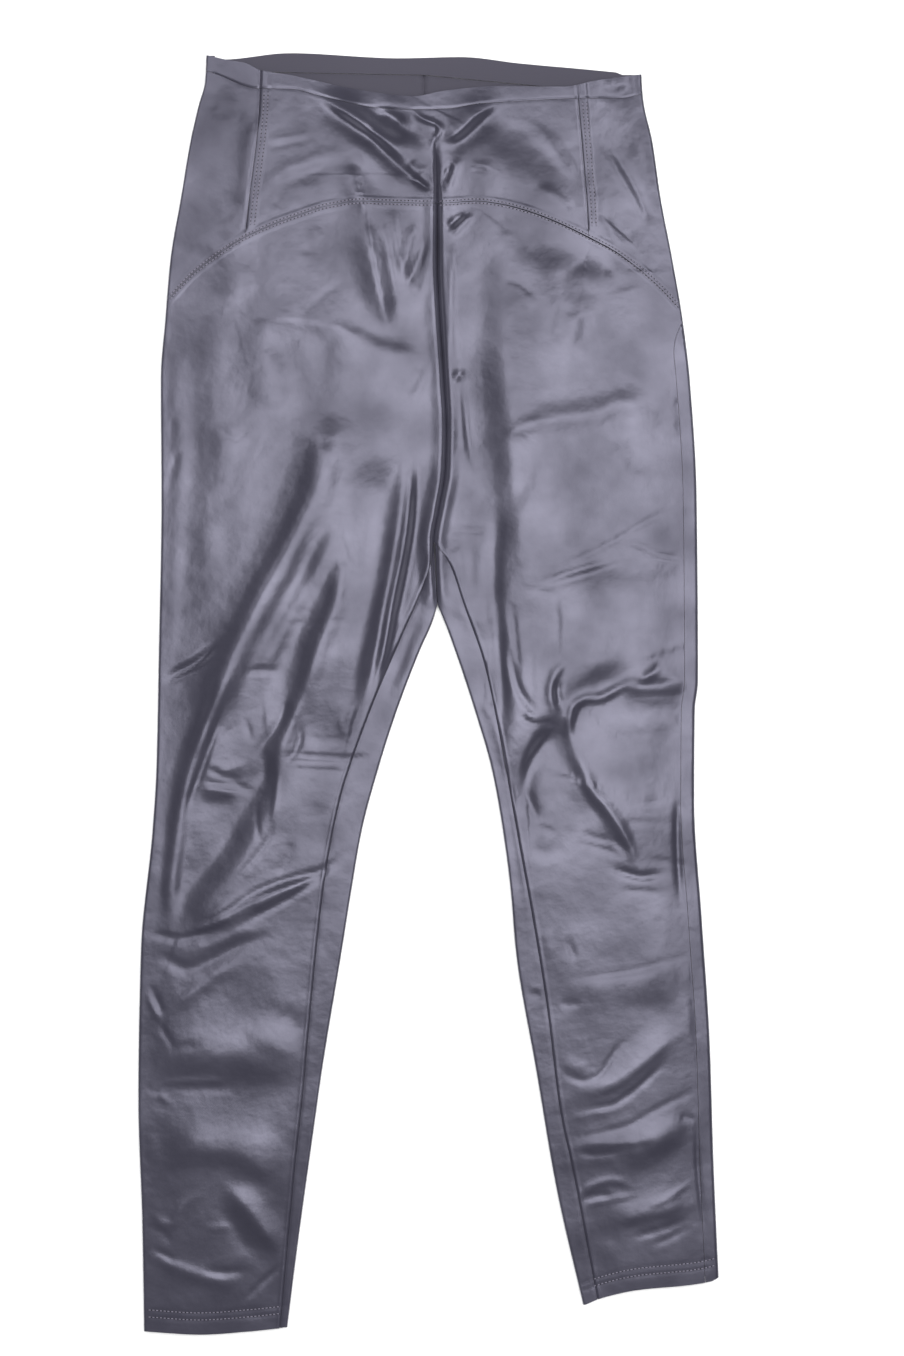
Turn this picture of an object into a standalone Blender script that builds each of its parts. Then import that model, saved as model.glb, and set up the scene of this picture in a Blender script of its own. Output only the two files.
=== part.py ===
import bmesh
import bpy
import numpy as np

# All sizes below are millimetres: +X across, +Y to the waist, +Z up from the surface the trousers lie on.
MM = 0.001
WALL = 1.2  # one thickness of coated cloth
BAND_WALL = 2.0  # elastic in its casing
HEM_WALL = 1.7  # cloth turned up and stitched
SEAM_GAP = 0.3
EDGE_RADIUS = 2.3  # roll of the cloth at a folded edge
RISE_OUTER = 22.0  # how far in from a folded edge the top layer reaches its loft, on the legs
RISE_HIPS = 60.0  # the same on the hips, where the loft is greater
HIPS_FROM = (300.0, 100.0)  # from this height up, over this length, the hips' rise takes over
RISE_GROOVE = 13.0  # the same beside the centre-front groove
LOWEST_TOP = 3.1  # the top layer's outer face never sinks below this, so the layers stay clear
LEFT_SIDE_SEAM = -8.0  # arc length from the folded edge, minus is under the garment
BACK_TURN = -16.0  # where the right back panel starts to turn up round the outer edge
TOP_START_RIGHT = 20.0  # where the right front leaves its wrap columns
SEAM_STEP = 1.0  # least spacing of columns beside a sliding side seam
HEM_DEPTH = 17.0
CROTCH_OUTER_Y = 95.0  # where the row through the crotch meets the side
CROTCH_Y = 69.0  # the fold between the legs
SEAM_LEAD = 49.0  # the inseam starts this much above the crotch fold
LEAD_FADE = 6  # how fast the inseam's lead over the fold dies away down the leg
CROTCH_TURN = 0.03  # share of the leg over which the fold's direction turns at the crotch
LEG_BLEND = (80.0, 40.0)  # from this height down, over this length, the groove becomes a folded edge
FREE_YOKE = (385.0, 25.0)  # from this height up, over this length, folds run across the centre
FOLD_EDGE = 14.0  # folds fade out this near a folded edge
FOLD_GROOVE = (2.0, 12.0)  # and from here to here beside the groove
HEM_CALM = (-505.0, 30.0)  # and over this length at the hem
FOLD_FADE = 30.0  # longest fade at a fold's ends
FOLD_END = 0.25  # share of its height a fold keeps at its ends

ROWS_BAND = 1
ROWS_YOKE = 9
ROWS_HIP = 13
ROWS_LEG = 30
COLUMNS_WRAP = 5
COLUMNS_SIDE = 5
COLUMNS_CENTRE = 13
COLUMNS_STRIP = 2
COLUMNS_INNER_WRAP = 4
COLUMNS_UNDER = 5
COLUMNS_BACK_WRAP = 6
LINE_TURNS = 6  # rounds that settle where a seam crosses the turned cloth
# Arc lengths of the columns that roll round the folded edge, from under the garment to the top.
FRONT_GIRTHS = {"left": (LEFT_SIDE_SEAM, -3.6, -1.2, 1.2, 2.6), "right": (-6.0, -2.6, 0.0, 2.6, 6.0)}
BACK_GIRTHS = (-3.6, -1.8, 0.0, 1.8, 3.6, 12.0)

# Garment outline, x of each edge at height y.
EDGE_X = {
    "outer_left": [
        (497, -173), (477, -174), (458, -179), (432, -185), (385, -193), (338, -201), (291, -205),
        (245, -208.5), (150, -208), (34, -210), (-60, -212), (-107, -215), (-200, -224), (-317, -226),
        (-411, -223), (-497, -221.5),
    ],
    "outer_right": [
        (482, 166), (471, 166.5), (458, 168), (432, 174), (385, 181), (338, 190), (291, 198),
        (245, 203.5), (150, 209), (10, 210), (-13, 207.5), (-83, 207), (-177, 213), (-270, 219),
        (-364, 222), (-455, 226),
    ],
    "inner_left": [
        (69, 7), (57, 3.5), (34, -6.5), (-13, -24.5), (-60, -39.5), (-107, -52), (-153, -60), (-200, -67.5),
        (-294, -83), (-340, -89.5), (-434, -102.5), (-494, -110),
    ],
    "inner_right": [
        (69, 7), (57, 12), (34, 20.5), (-13, 36), (-60, 49.5), (-107, 58), (-153, 64), (-200, 68), (-294, 84),
        (-387, 100), (-476, 120.5),
    ],
    "inseam_left": [
        (118, 4), (103, 2), (82, -5), (42, -22), (-15, -46), (-79, -68), (-121, -77), (-161, -83),
        (-247, -92), (-303, -97), (-379, -105), (-494, -115.5),
    ],
    "inseam_right": [
        (118, 4), (104, 15), (68, 28), (25, 43), (-52, 59), (-114, 70), (-174, 81), (-242, 92), (-327, 103),
        (-369, 112), (-471, 131.5),
    ],
    "centre": [
        (500, 3), (440, 5), (381, 7), (338, 7), (291, 9), (245, 12), (205, 14), (174, 13), (143, 8), (118, 4),
        (95, 5), (69, 7),
    ],
    "princess_left": [(486, -130), (455, -131), (432, -133), (408, -136), (385, -139), (357, -142)],
    "princess_right": [(476, 115.5), (455, 117), (432, 119), (408, 121), (385, 123), (355, 124.5)],
}

# Seams and edges that run across, y at each x.
LINE_Y = {
    "front_top": [
        (-173, 497), (-157, 493), (-142, 490), (-130, 484), (-107, 480), (-69, 472), (-46, 468),
        (-10, 464), (13, 468), (56, 471.5), (103, 471), (134, 477), (166, 482),
    ],
    "front_band_seam": [
        (-175, 485), (-166, 482), (-133, 470), (-104, 469), (-88, 465), (-46, 456), (-10, 453.5), (14, 454),
        (39, 457.5), (73, 460), (111, 462), (151, 463), (168, 467),
    ],
    "yoke_seam": [
        (-204, 305), (-195, 315), (-182, 328), (-166, 340), (-147, 352), (-124, 363), (-100, 372),
        (-77, 379), (-53, 382), (7, 381), (36, 382.5), (56, 380), (79, 374), (103, 365), (126, 354),
        (145, 344), (165, 330), (181, 316), (198, 298),
    ],
    "back_top": [
        (-173, 497), (-161, 494), (-108, 499), (-22, 495), (25, 496), (71, 491), (126, 486), (166, 482),
    ],
    "hem_left": [(-221.5, -496.5), (-178, -499), (-139, -496.5), (-110, -493.5)],
    "hem_right": [(120.5, -476), (134, -471), (159, -465), (220, -457.5), (226, -454.5)],
}
BAND_OUTER_Y = {"left": (497, 485), "right": (482, 467)}
YOKE_OUTER_Y = {"left": 305, "right": 298}
HEM_OUTER_Y = {"left": -496.5, "right": -454.5}
HEM_INNER_Y = {"left": -493.5, "right": -476}
HEM_SEAM_Y = {"left": -494, "right": -471.5}
BACK_BAND_Y = 482  # centre of the back band's lower edge
BACK_CENTRE_X = -3.5
FRONT_CENTRE_X = 5.0  # about where the centre line crosses the yoke
PRINCESS_X = {"left": -135.0, "right": 120.0}  # about where the princess seams run

# How high the top layer lies, at height y, away from its edges and in the centre-front groove.
LOFT = [
    (500, 10.5), (440, 10), (385, 8.8), (300, 7.2), (200, 6.6), (0, 6.2), (-200, 6), (-400, 5.6), (-500, 4.8),
]
GROOVE = [
    (500, 10.5), (440, 9.8), (412, 7.6), (381, 5.2), (340, 3.5), (118, 3.2), (95, 3.4), (74, 4.6), (60, 4.6),
]
# Right side seam: arc length from the folded edge at height y.
RIGHT_SIDE_SEAM = [(482, -6), (340, -5), (298, 0), (250, 12), (-460, 12)]

# The large folds. height is up from the cloth round them; left and right are widths beside the crest,
# facing along the path; shape 2 is a round crest and 4 a flat one.
FOLDS = [
    dict(name="thigh_pull_left", height=5.0, left=16, right=22, shape=2, path=[
        (-77, 206), (-84, 174), (-96, 136), (-112, 104), (-129, 73), (-142, 46), (-156, 18), (-170, -9),
        (-181, -36), (-189, -63), (-193, -95), (-196, -130), (-198, -165)]),
    dict(name="thigh_plateau_left", height=4.0, left=27, right=27, shape=4, path=[
        (-52, 190), (-57, 135), (-61, 89), (-67, 57), (-74, 26), (-81, -5), (-87, -36)]),
    dict(name="thigh_inner_left", height=1.6, left=6, right=7, shape=2, path=[
        (-14, 167), (-18, 120), (-24, 81), (-31, 42), (-38, 3)]),
    dict(name="yoke_pull_left", height=2.2, left=8, right=13, shape=2, path=[
        (-52, 373), (-46, 346), (-38, 315), (-32, 280)]),
    dict(name="knee_hollow_left", height=-3.0, left=12, right=12, shape=2, path=[
        (-128, -36), (-129, -67), (-143, -99), (-161, -126), (-182, -153), (-194, -177)]),
    dict(name="knee_crease_left", height=1.8, left=6, right=10, shape=2, path=[
        (-190, -185), (-155, -168), (-131, -158), (-100, -148), (-80, -140)]),
    dict(name="calf_wave_left", height=2.0, left=20, right=12, shape=2, path=[
        (-217, -276), (-170, -277), (-100, -279)]),
    dict(name="shin_wave_left", height=2.0, left=13, right=13, shape=2, path=[
        (-212, -338), (-160, -345), (-120, -362), (-105, -372)]),
    dict(name="ankle_wave_left", height=1.8, left=9, right=9, shape=2, path=[
        (-158, -381), (-135, -403), (-115, -436)]),
    dict(name="thigh_plateau_right", height=3.2, left=62, right=16, shape=2, path=[
        (60, 350), (60, 284), (66, 206), (72, 150), (78, 100), (81, 42)]),
    dict(name="hip_wave_right", height=2.0, left=8, right=8, shape=2, path=[
        (60, 203), (87, 212), (126, 217), (153, 225), (173, 219), (184, 206)]),
    dict(name="knee_step_right", height=3.0, left=30, right=9, shape=2, path=[
        (153, 8), (134, -1), (118, -5), (112, -21), (112, -32), (120, -60), (126, -75), (142, -91),
        (153, -114), (165, -138)]),
    dict(name="knee_bar_right", height=1.5, left=6, right=10, shape=2, path=[(149, 4), (169, 5), (198, 7)]),
    dict(name="knee_hollow_right", height=-2.5, left=9, right=9, shape=2, path=[
        (108, -17), (91, -36), (77, -60), (75, -79), (87, -95)]),
    dict(name="calf_bar_right", height=2.0, left=8, right=10, shape=2, path=[
        (99, -228), (130, -227), (165, -223), (205, -212)]),
    dict(name="shin_wave_right", height=1.6, left=9, right=9, shape=2, path=[
        (110, -313), (149, -298), (196, -262)]),
    dict(name="ankle_wave_right", height=1.4, left=8, right=14, shape=2, path=[
        (114, -352), (165, -348), (200, -333)]),
    dict(name="ankle_bar_right", height=1.6, left=8, right=10, shape=2, path=[
        (134, -407), (173, -399), (205, -395)]),
    dict(name="yoke_crest", height=2.2, left=7, right=7, shape=2, path=[
        (-77, 461), (-53, 444), (-27, 425), (-5, 408)]),
    dict(name="yoke_second_crest", height=1.6, left=8, right=9, shape=2, path=[
        (-61, 432), (-30, 408), (-8, 391)]),
    dict(name="yoke_hollow", height=-2.0, left=11, right=11, shape=2, path=[
        (-50, 446), (-32, 441), (-14, 438)]),
    dict(name="yoke_arm_right", height=1.5, left=6, right=8, shape=2, path=[
        (9, 432), (23, 436), (32, 446), (44, 453)]),
]
PATH_STEPS = 6  # straight pieces between two path points

COLOURS = {  # linear red, green, blue
    "cloth": (0.165, 0.158, 0.205),
    "band": (0.120, 0.116, 0.150),
}


def tableValue(table, at):
    """Smooth curve through a table's rows, with no overshoot between them."""
    rows = np.array(sorted(table), float)
    key, value = rows[:, 0], rows[:, 1]
    step = np.diff(key)
    slope = np.diff(value) / step
    bend = np.concatenate([slope[:1], np.zeros(len(key) - 2), slope[-1:]])
    for i in range(1, len(key) - 1):
        before, after = slope[i - 1], slope[i]
        if before * after > 0:
            weightA = 2 * step[i] + step[i - 1]
            weightB = step[i] + 2 * step[i - 1]
            bend[i] = (weightA + weightB) / (weightA / before + weightB / after)
    at = np.asarray(at, float)
    inside = np.clip(at, key[0], key[-1])
    i = np.clip(np.searchsorted(key, inside) - 1, 0, len(step) - 1)
    t = (inside - key[i]) / step[i]
    curve = (
        (1 + 2 * t) * (1 - t) ** 2 * value[i]
        + t * (1 - t) ** 2 * step[i] * bend[i]
        + t**2 * (3 - 2 * t) * value[i + 1]
        - t**2 * (1 - t) * step[i] * bend[i + 1]
    )
    return curve + (at - inside) * np.where(at < key[0], bend[0], bend[-1])


def edgeX(name, y):
    return tableValue(EDGE_X[name], y)


def lineY(name, x):
    return tableValue(LINE_Y[name], x)


def easeIn(distance, width):
    t = np.clip(distance / width, 0, 1)
    return t * t * (3 - 2 * t)


def foldPath(points):
    """The fold's path as many short straight pieces on a smooth curve."""
    points = np.array(points, float)
    padded = np.vstack([2 * points[0] - points[1], points, 2 * points[-1] - points[-2]])
    path = []
    for a, b, c, d in zip(padded, padded[1:], padded[2:], padded[3:]):
        for t in np.arange(PATH_STEPS) / PATH_STEPS:
            bend = (2 * a - 5 * b + 4 * c - d) * t**2 + (3 * b - a - 3 * c + d) * t**3
            path.append(b + ((c - a) * t + bend) / 2)
    return np.array(path + [points[-1]])


def foldHeight(fold, x, y):
    path = foldPath(fold["path"])
    run = np.concatenate([[0], np.cumsum(np.linalg.norm(np.diff(path, axis=0), axis=1))])
    nearest = np.full(np.shape(x), 1e9)
    across = np.zeros(np.shape(x))
    along = np.zeros(np.shape(x))
    for (ax, ay), (bx, by), start in zip(path, path[1:], run):
        dx, dy = bx - ax, by - ay
        length = np.hypot(dx, dy)
        t = np.clip(((x - ax) * dx + (y - ay) * dy) / length**2, 0, 1)
        distance = np.hypot(x - ax - t * dx, y - ay - t * dy)
        side = np.sign(dx * (y - ay) - dy * (x - ax))
        closer = distance < nearest
        nearest = np.where(closer, distance, nearest)
        across = np.where(closer, distance * side, across)
        along = np.where(closer, start + t * length, along)
    width = np.where(across > 0, fold["left"], fold["right"])
    taper = min(FOLD_FADE, run[-1] / 3)
    fade = FOLD_END + (1 - FOLD_END) * easeIn(along, taper) * easeIn(run[-1] - along, taper)
    return fold["height"] * fade * np.exp(-np.abs(across / width) ** fold["shape"])


def topHeight(x, y):
    """Outer face of the top layer above the surface, at any place on the garment."""
    x, y = np.asarray(x, float), np.asarray(y, float)
    centre = edgeX("centre", np.maximum(y, CROTCH_Y))
    leftInner = np.where(y < CROTCH_Y, edgeX("inner_left", y), centre)
    rightInner = np.where(y < CROTCH_Y, edgeX("inner_right", y), centre)
    onLeft = x < (leftInner + rightInner) / 2
    outer = np.where(onLeft, x - edgeX("outer_left", y), edgeX("outer_right", y) - x)
    inner = np.where(onLeft, leftInner - x, x - rightInner)
    start = 1.1 * EDGE_RADIUS
    riseOuter = RISE_OUTER + (RISE_HIPS - RISE_OUTER) * easeIn(y - HIPS_FROM[0], HIPS_FROM[1])
    rise = easeIn(outer - start, riseOuter)
    legShare = easeIn(LEG_BLEND[0] - y, LEG_BLEND[1])
    riseIn = easeIn(inner - start * legShare, RISE_GROOVE + (RISE_OUTER - RISE_GROOVE) * legShare)
    edge = 2 * EDGE_RADIUS
    groove = tableValue(GROOVE, np.maximum(y, GROOVE[-1][0]))
    base = edge * (1 - rise) + rise * (groove * (1 - riseIn) + tableValue(LOFT, y) * riseIn)
    folds = sum(foldHeight(fold, x, y) for fold in FOLDS)
    freeCentre = easeIn(y - FREE_YOKE[0], FREE_YOKE[1])
    besideGroove = easeIn(inner - FOLD_GROOVE[0], FOLD_GROOVE[1])
    mask = easeIn(outer - start, FOLD_EDGE) * (freeCentre + (1 - freeCentre) * besideGroove)
    hemShare = easeIn(y - HEM_CALM[0], HEM_CALM[1])
    return np.maximum(base + folds * mask * hemShare, LOWEST_TOP)


def topNormal(x, y):
    reach = 1.0
    slopeX = (topHeight(x + reach, y) - topHeight(x - reach, y)) / (2 * reach)
    slopeY = (topHeight(x, y + reach) - topHeight(x, y - reach)) / (2 * reach)
    normal = np.stack([-slopeX, -slopeY, np.ones_like(slopeX)], axis=-1)
    return normal / np.linalg.norm(normal, axis=-1, keepdims=True)


def topBlock(plan):
    """Points and outward normals of the top layer above plan positions (..., 2)."""
    x, y = plan[..., 0], plan[..., 1]
    return np.stack([x, y, topHeight(x, y)], axis=-1), topNormal(x, y)


def wrapInset(girth):
    """How far in from the folded edge a point lies, girth being its arc length from the edge."""
    angle = np.clip(girth / EDGE_RADIUS, -np.pi / 2, np.pi / 2)
    return EDGE_RADIUS * (1 - np.cos(angle)) + np.maximum(np.abs(girth) - EDGE_RADIUS * np.pi / 2, 0)


def wrapBlock(edge, outward, girth):
    """Cloth rolled round a folded edge: edge and outward are plan (..., 2), girth runs over the roll."""
    angle = np.clip(girth / EDGE_RADIUS, -np.pi / 2, np.pi / 2)
    plan = edge - outward * wrapInset(girth)[..., None]
    rolled = EDGE_RADIUS * (1 + np.sin(angle))
    onTop = girth > EDGE_RADIUS * np.pi / 2
    height = np.where(onTop, topHeight(plan[..., 0], plan[..., 1]), rolled)
    points = np.concatenate([plan, height[..., None]], axis=-1)
    normals = np.concatenate([outward * np.cos(angle)[..., None], np.sin(angle)[..., None]], axis=-1)
    normals = np.where(onTop[..., None], topNormal(plan[..., 0], plan[..., 1]), normals)
    return points, normals


def underBlock(plan):
    zero = np.zeros(plan.shape[:-1] + (1,))
    return np.concatenate([plan, zero], axis=-1), np.concatenate([zero, zero, zero - 1], axis=-1)


def patch(upper, lower, outer, inner):
    """Plan positions between four edges: upper and lower are (columns, 2), outer and inner (rows, 2)."""
    rows, columns = len(outer), len(upper)
    t = np.linspace(0, 1, rows)[:, None, None]
    s = np.linspace(0, 1, columns)[None, :, None]
    spread = upper[None] * (1 - t) + lower[None] * t
    return spread + (outer[:, None] - spread[:, :1]) * (1 - s) + (inner[:, None] - spread[:, -1:]) * s


def lineOver(name, x):
    return np.stack([x, lineY(name, x)], axis=-1)


class Half:
    """Rows and columns of one leg and its half of the hips; sign is -1 on the left and 1 on the right."""

    def __init__(self, name, sign):
        self.name, self.sign = name, sign
        self.outward = np.array([float(sign), 0.0])
        self.start = EDGE_RADIUS * np.pi / 2 if sign < 0 else TOP_START_RIGHT
        self.q = np.linspace(0, 1, ROWS_LEG + 1)
        legOuter = CROTCH_OUTER_Y + (HEM_OUTER_Y[name] - CROTCH_OUTER_Y) * self.q
        self.bandOuterY = np.linspace(*BAND_OUTER_Y[name], ROWS_BAND + 1)
        self.yokeOuterY = np.linspace(BAND_OUTER_Y[name][1], YOKE_OUTER_Y[name], ROWS_YOKE + 1)
        self.hipOuterY = np.linspace(YOKE_OUTER_Y[name], CROTCH_OUTER_Y, ROWS_HIP + 1)
        legOuter[-2] = HEM_OUTER_Y[name] + HEM_DEPTH
        self.legOuterY = legOuter
        self.crossings = [
            (BAND_OUTER_Y[name][0], "front_top"),
            (BAND_OUTER_Y[name][1], "front_band_seam"),
            (YOKE_OUTER_Y[name], "yoke_seam"),
            (CROTCH_OUTER_Y, None),
            (HEM_OUTER_Y[name], "hem_" + name),
        ]

    def edgeAt(self, y):
        return np.stack([edgeX("outer_" + self.name, y), y], axis=-1)

    def climb(self, level, line, girth):
        """How far a line that meets the folded edge at a level has climbed at an arc length in from it."""
        inset = wrapInset(np.maximum(girth, 0))
        edge = edgeX("outer_" + self.name, level)
        y = level + 0 * inset
        for _ in range(LINE_TURNS):
            x = edgeX("outer_" + self.name, y) - self.sign * inset
            y = level + lineY(line, x) - lineY(line, edge)
        return y - level

    def rowEdge(self, y, girth):
        """The folded edge's place for each row and arc length, where the rows follow the seams that cross."""
        y = y[:, None] + 0 * girth
        moved = y.copy()
        levels = [-level for level, line in self.crossings]
        for i, (level, line) in enumerate(self.crossings):
            if line:
                share = np.interp(-y, levels, np.eye(len(levels))[i])
                moved += share * self.climb(level, line, girth)
        return self.edgeAt(moved)

    def topStart(self, y):
        girth = np.full((len(y), 1), self.start)
        return (self.rowEdge(y, girth) - self.outward * wrapInset(girth)[..., None])[:, 0]

    def sideSeam(self, y):
        return np.full(len(y), LEFT_SIDE_SEAM) if self.sign < 0 else tableValue(RIGHT_SIDE_SEAM, y)

    def frontWrap(self, y):
        """The front's columns from the side seam over the folded edge to the top."""
        seam = self.sideSeam(y)[:, None]
        wanted = np.array([*FRONT_GIRTHS[self.name], self.start])
        girth = np.maximum(wanted[None], seam + np.arange(COLUMNS_WRAP + 1)[None] * SEAM_STEP)
        girth[:, -1] = self.start
        return wrapBlock(self.rowEdge(y, girth), self.outward, girth)

    def backWrap(self, y):
        """The right back's columns from under the garment up round the folded edge to the side seam."""
        seam = self.sideSeam(y)[:, None]
        wanted = np.array([BACK_TURN, *BACK_GIRTHS])
        girth = np.minimum(wanted[None], seam - np.arange(COLUMNS_BACK_WRAP, -1, -1)[None] * SEAM_STEP)
        return wrapBlock(self.rowEdge(y, girth), self.outward, girth)

    def across(self, line, outerY):
        """Columns of a line across the front, with one on the princess seam."""
        centreX = edgeX("centre", lineY(line, FRONT_CENTRE_X))
        seamY = lineY(line, PRINCESS_X[self.name])
        princess = edgeX("princess_" + self.name, seamY)
        startX = self.topStart(np.array([float(outerY)]))[0, 0]
        side = np.linspace(startX, princess, COLUMNS_SIDE + 1)
        middle = np.linspace(princess, centreX, COLUMNS_CENTRE + 1)[1:]
        return lineOver(line, np.concatenate([side, middle]))

    def princess(self, upper, lower, rows):
        ends = upper[COLUMNS_SIDE], lower[COLUMNS_SIDE]
        y = np.linspace(ends[0][1], ends[1][1], rows)
        return np.stack([edgeX("princess_" + self.name, y), y], axis=-1)

    def centreLine(self, fromY, toY, rows):
        y = np.linspace(fromY, toY, rows)
        return np.stack([edgeX("centre", y), y], axis=-1)

    def yokeRows(self, upperLine, lowerLine, outerY):
        """Top-layer rows between two lines across, as one plan of side and centre columns."""
        rows = len(outerY)
        upper = self.across(upperLine, outerY[0])
        lower = self.across(lowerLine, outerY[-1])
        princess = self.princess(upper, lower, rows)
        centre = self.centreLine(upper[-1, 1], lower[-1, 1], rows)
        side = patch(upper[: COLUMNS_SIDE + 1], lower[: COLUMNS_SIDE + 1], self.topStart(outerY), princess)
        middle = patch(upper[COLUMNS_SIDE:], lower[COLUMNS_SIDE:], princess, centre)
        return np.concatenate([side, middle[:, 1:]], axis=1)

    def inseam(self):
        lead = SEAM_LEAD * (1 - self.q) ** LEAD_FADE
        hemLead = (HEM_SEAM_Y[self.name] - HEM_INNER_Y[self.name]) * self.q
        y = self.innerY() + lead + hemLead
        return np.stack([edgeX("inseam_" + self.name, y), y], axis=-1)

    def innerY(self):
        return CROTCH_Y + (HEM_INNER_Y[self.name] - CROTCH_Y) * self.q

    def innerEdge(self):
        y = self.innerY()
        return np.stack([edgeX("inner_" + self.name, y), y], axis=-1)

    def innerOutward(self):
        """Direction in which cloth turns over the inner edge: straight down the page at the crotch."""
        y = self.innerY()
        slope = (edgeX("inner_" + self.name, y + 1) - edgeX("inner_" + self.name, y - 1)) / 2
        normal = np.stack([-self.sign * np.ones_like(y), self.sign * slope], axis=-1)
        share = np.exp(-((self.q / CROTCH_TURN) ** 2))[:, None]
        turned = normal * (1 - share) + np.array([0.0, -1.0]) * share
        return turned / np.linalg.norm(turned, axis=-1, keepdims=True)

    def frontLegRows(self):
        hipOuter, legOuter = self.topStart(self.hipOuterY), self.topStart(self.legOuterY)
        upper = self.across("yoke_seam", self.hipOuterY[0])
        inseam = self.inseam()
        columns = len(upper)
        s = np.linspace(0, 1, columns)[:, None]
        crotch = hipOuter[-1] * (1 - s) + inseam[0] * s
        centre = self.centreLine(upper[-1, 1], inseam[0, 1], ROWS_HIP + 1)
        hip = patch(upper, crotch, hipOuter, centre)
        hemX = np.linspace(legOuter[-1, 0], inseam[-1, 0], columns)
        leg = patch(crotch, lineOver("hem_" + self.name, hemX), legOuter, inseam)
        return np.concatenate([hip, leg[1:]], axis=0)

    def underRows(self, fromPoints, toPoints):
        s = np.linspace(0, 1, COLUMNS_UNDER + 1)[None, :, None]
        return fromPoints[:, None] * (1 - s) + toPoints[:, None] * s


def seamVectors(cells, points, inside):
    """Unit directions, in the cloth, from a seam's points towards the inside of the panel."""
    along = np.gradient(points, axis=0)
    along /= np.linalg.norm(along, axis=1, keepdims=True)
    inward = inside - points
    inward -= (inward * along).sum(axis=1, keepdims=True) * along
    inward /= np.linalg.norm(inward, axis=1, keepdims=True)
    return list(zip(cells, inward))


def seamShifts(points, seams):
    """How each seam point moves so that the panel ends half a gap from the seam."""
    columns = points.shape[1]
    directions = {}
    for line, within in seams:
        here = np.array([points[cell] for cell in line])
        inside = np.array([points[cell] for cell in within])
        for cell, inward in seamVectors(line, here, inside):
            directions.setdefault(cell[0] * columns + cell[1], []).append(inward)
    shifts = {}
    for cell, inward in directions.items():
        if len(inward) == 1:
            shifts[cell] = inward[0] * SEAM_GAP / 2
        else:
            shifts[cell] = (inward[0] + inward[1]) * SEAM_GAP / 2 / (1 + inward[0] @ inward[1])
    return shifts


def rowSeam(row, towards, columns):
    return [(row, i) for i in columns], [(row + towards, i) for i in columns]


def columnSeam(column, towards, rows):
    return [(j, column) for j in rows], [(j, column + towards) for j in rows]


def makeMaterial(name, colour):
    material = bpy.data.materials.new(name)
    material.use_nodes = True
    shader = material.node_tree.nodes["Principled BSDF"]
    shader.inputs["Base Color"].default_value = (*colour, 1)
    shader.inputs["Roughness"].default_value = 0.42
    shader.inputs["Metallic"].default_value = 0.0
    return material


def clothPanel(name, surface, wall, seams, used=None, colour="cloth"):
    """One closed wall of cloth from a grid of outer points; used marks the rows and columns it has."""
    points, normals = surface
    rows, columns = points.shape[:2]
    walls = np.broadcast_to(wall, (rows, columns))
    shifts = seamShifts(points, seams)
    outer = points.reshape(-1, 3).copy()
    for cell, shift in shifts.items():
        outer[cell] += shift
    inner = outer - normals.reshape(-1, 3) * walls.reshape(-1, 1)

    mesh = bmesh.new()
    bmesh.ops.create_grid(mesh, x_segments=columns - 1, y_segments=rows - 1, size=1)
    cellOf = mesh.verts.layers.int.new("cell")
    mesh.verts.ensure_lookup_table()
    for vert in mesh.verts:
        vert[cellOf] = vert.index
        vert.co = outer[vert.index] * MM
    if used is not None:
        unused = [vert for vert in mesh.verts if not used[vert[cellOf] // columns, vert[cellOf] % columns]]
        bmesh.ops.delete(mesh, geom=unused, context="VERTS")
    made = bmesh.ops.extrude_face_region(mesh, geom=mesh.faces[:])
    for vert in made["geom"]:
        if isinstance(vert, bmesh.types.BMVert):
            vert.co = inner[vert[cellOf]] * MM
    bmesh.ops.recalc_face_normals(mesh, faces=mesh.faces)
    data = bpy.data.meshes.new(name)
    mesh.to_mesh(data)
    mesh.free()
    data.materials.append(makeMaterial(name + "_" + colour, COLOURS[colour]))
    panel = bpy.data.objects.new(name, data)
    bpy.context.scene.collection.objects.link(panel)
    return panel


def joined(*blocks):
    """Blocks side by side; each later block's first column repeats the one before and is left out."""
    points, normals = blocks[0]
    for more, moreNormals in blocks[1:]:
        points = np.concatenate([points, more[:, 1:]], axis=1)
        normals = np.concatenate([normals, moreNormals[:, 1:]], axis=1)
    return points, normals


def mirrored(block):
    return block[0][:, ::-1], block[1][:, ::-1]


def columnsOf(block, fromColumn, toColumn):
    return block[0][:, fromColumn : toColumn + 1], block[1][:, fromColumn : toColumn + 1]


def makeFrontLeg(half):
    y = np.concatenate([half.hipOuterY, half.legOuterY[1:]])
    surface = joined(half.frontWrap(y), topBlock(half.frontLegRows()))
    rows, columns = surface[0].shape[:2]
    seams = [
        rowSeam(0, 1, range(columns)),
        columnSeam(0, 1, range(rows)),
        columnSeam(columns - 1, -1, range(rows)),
    ]
    wall = np.full((rows, 1), WALL)
    wall[-2:] = HEM_WALL
    clothPanel("front_leg_" + half.name, surface, wall, seams)


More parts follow.
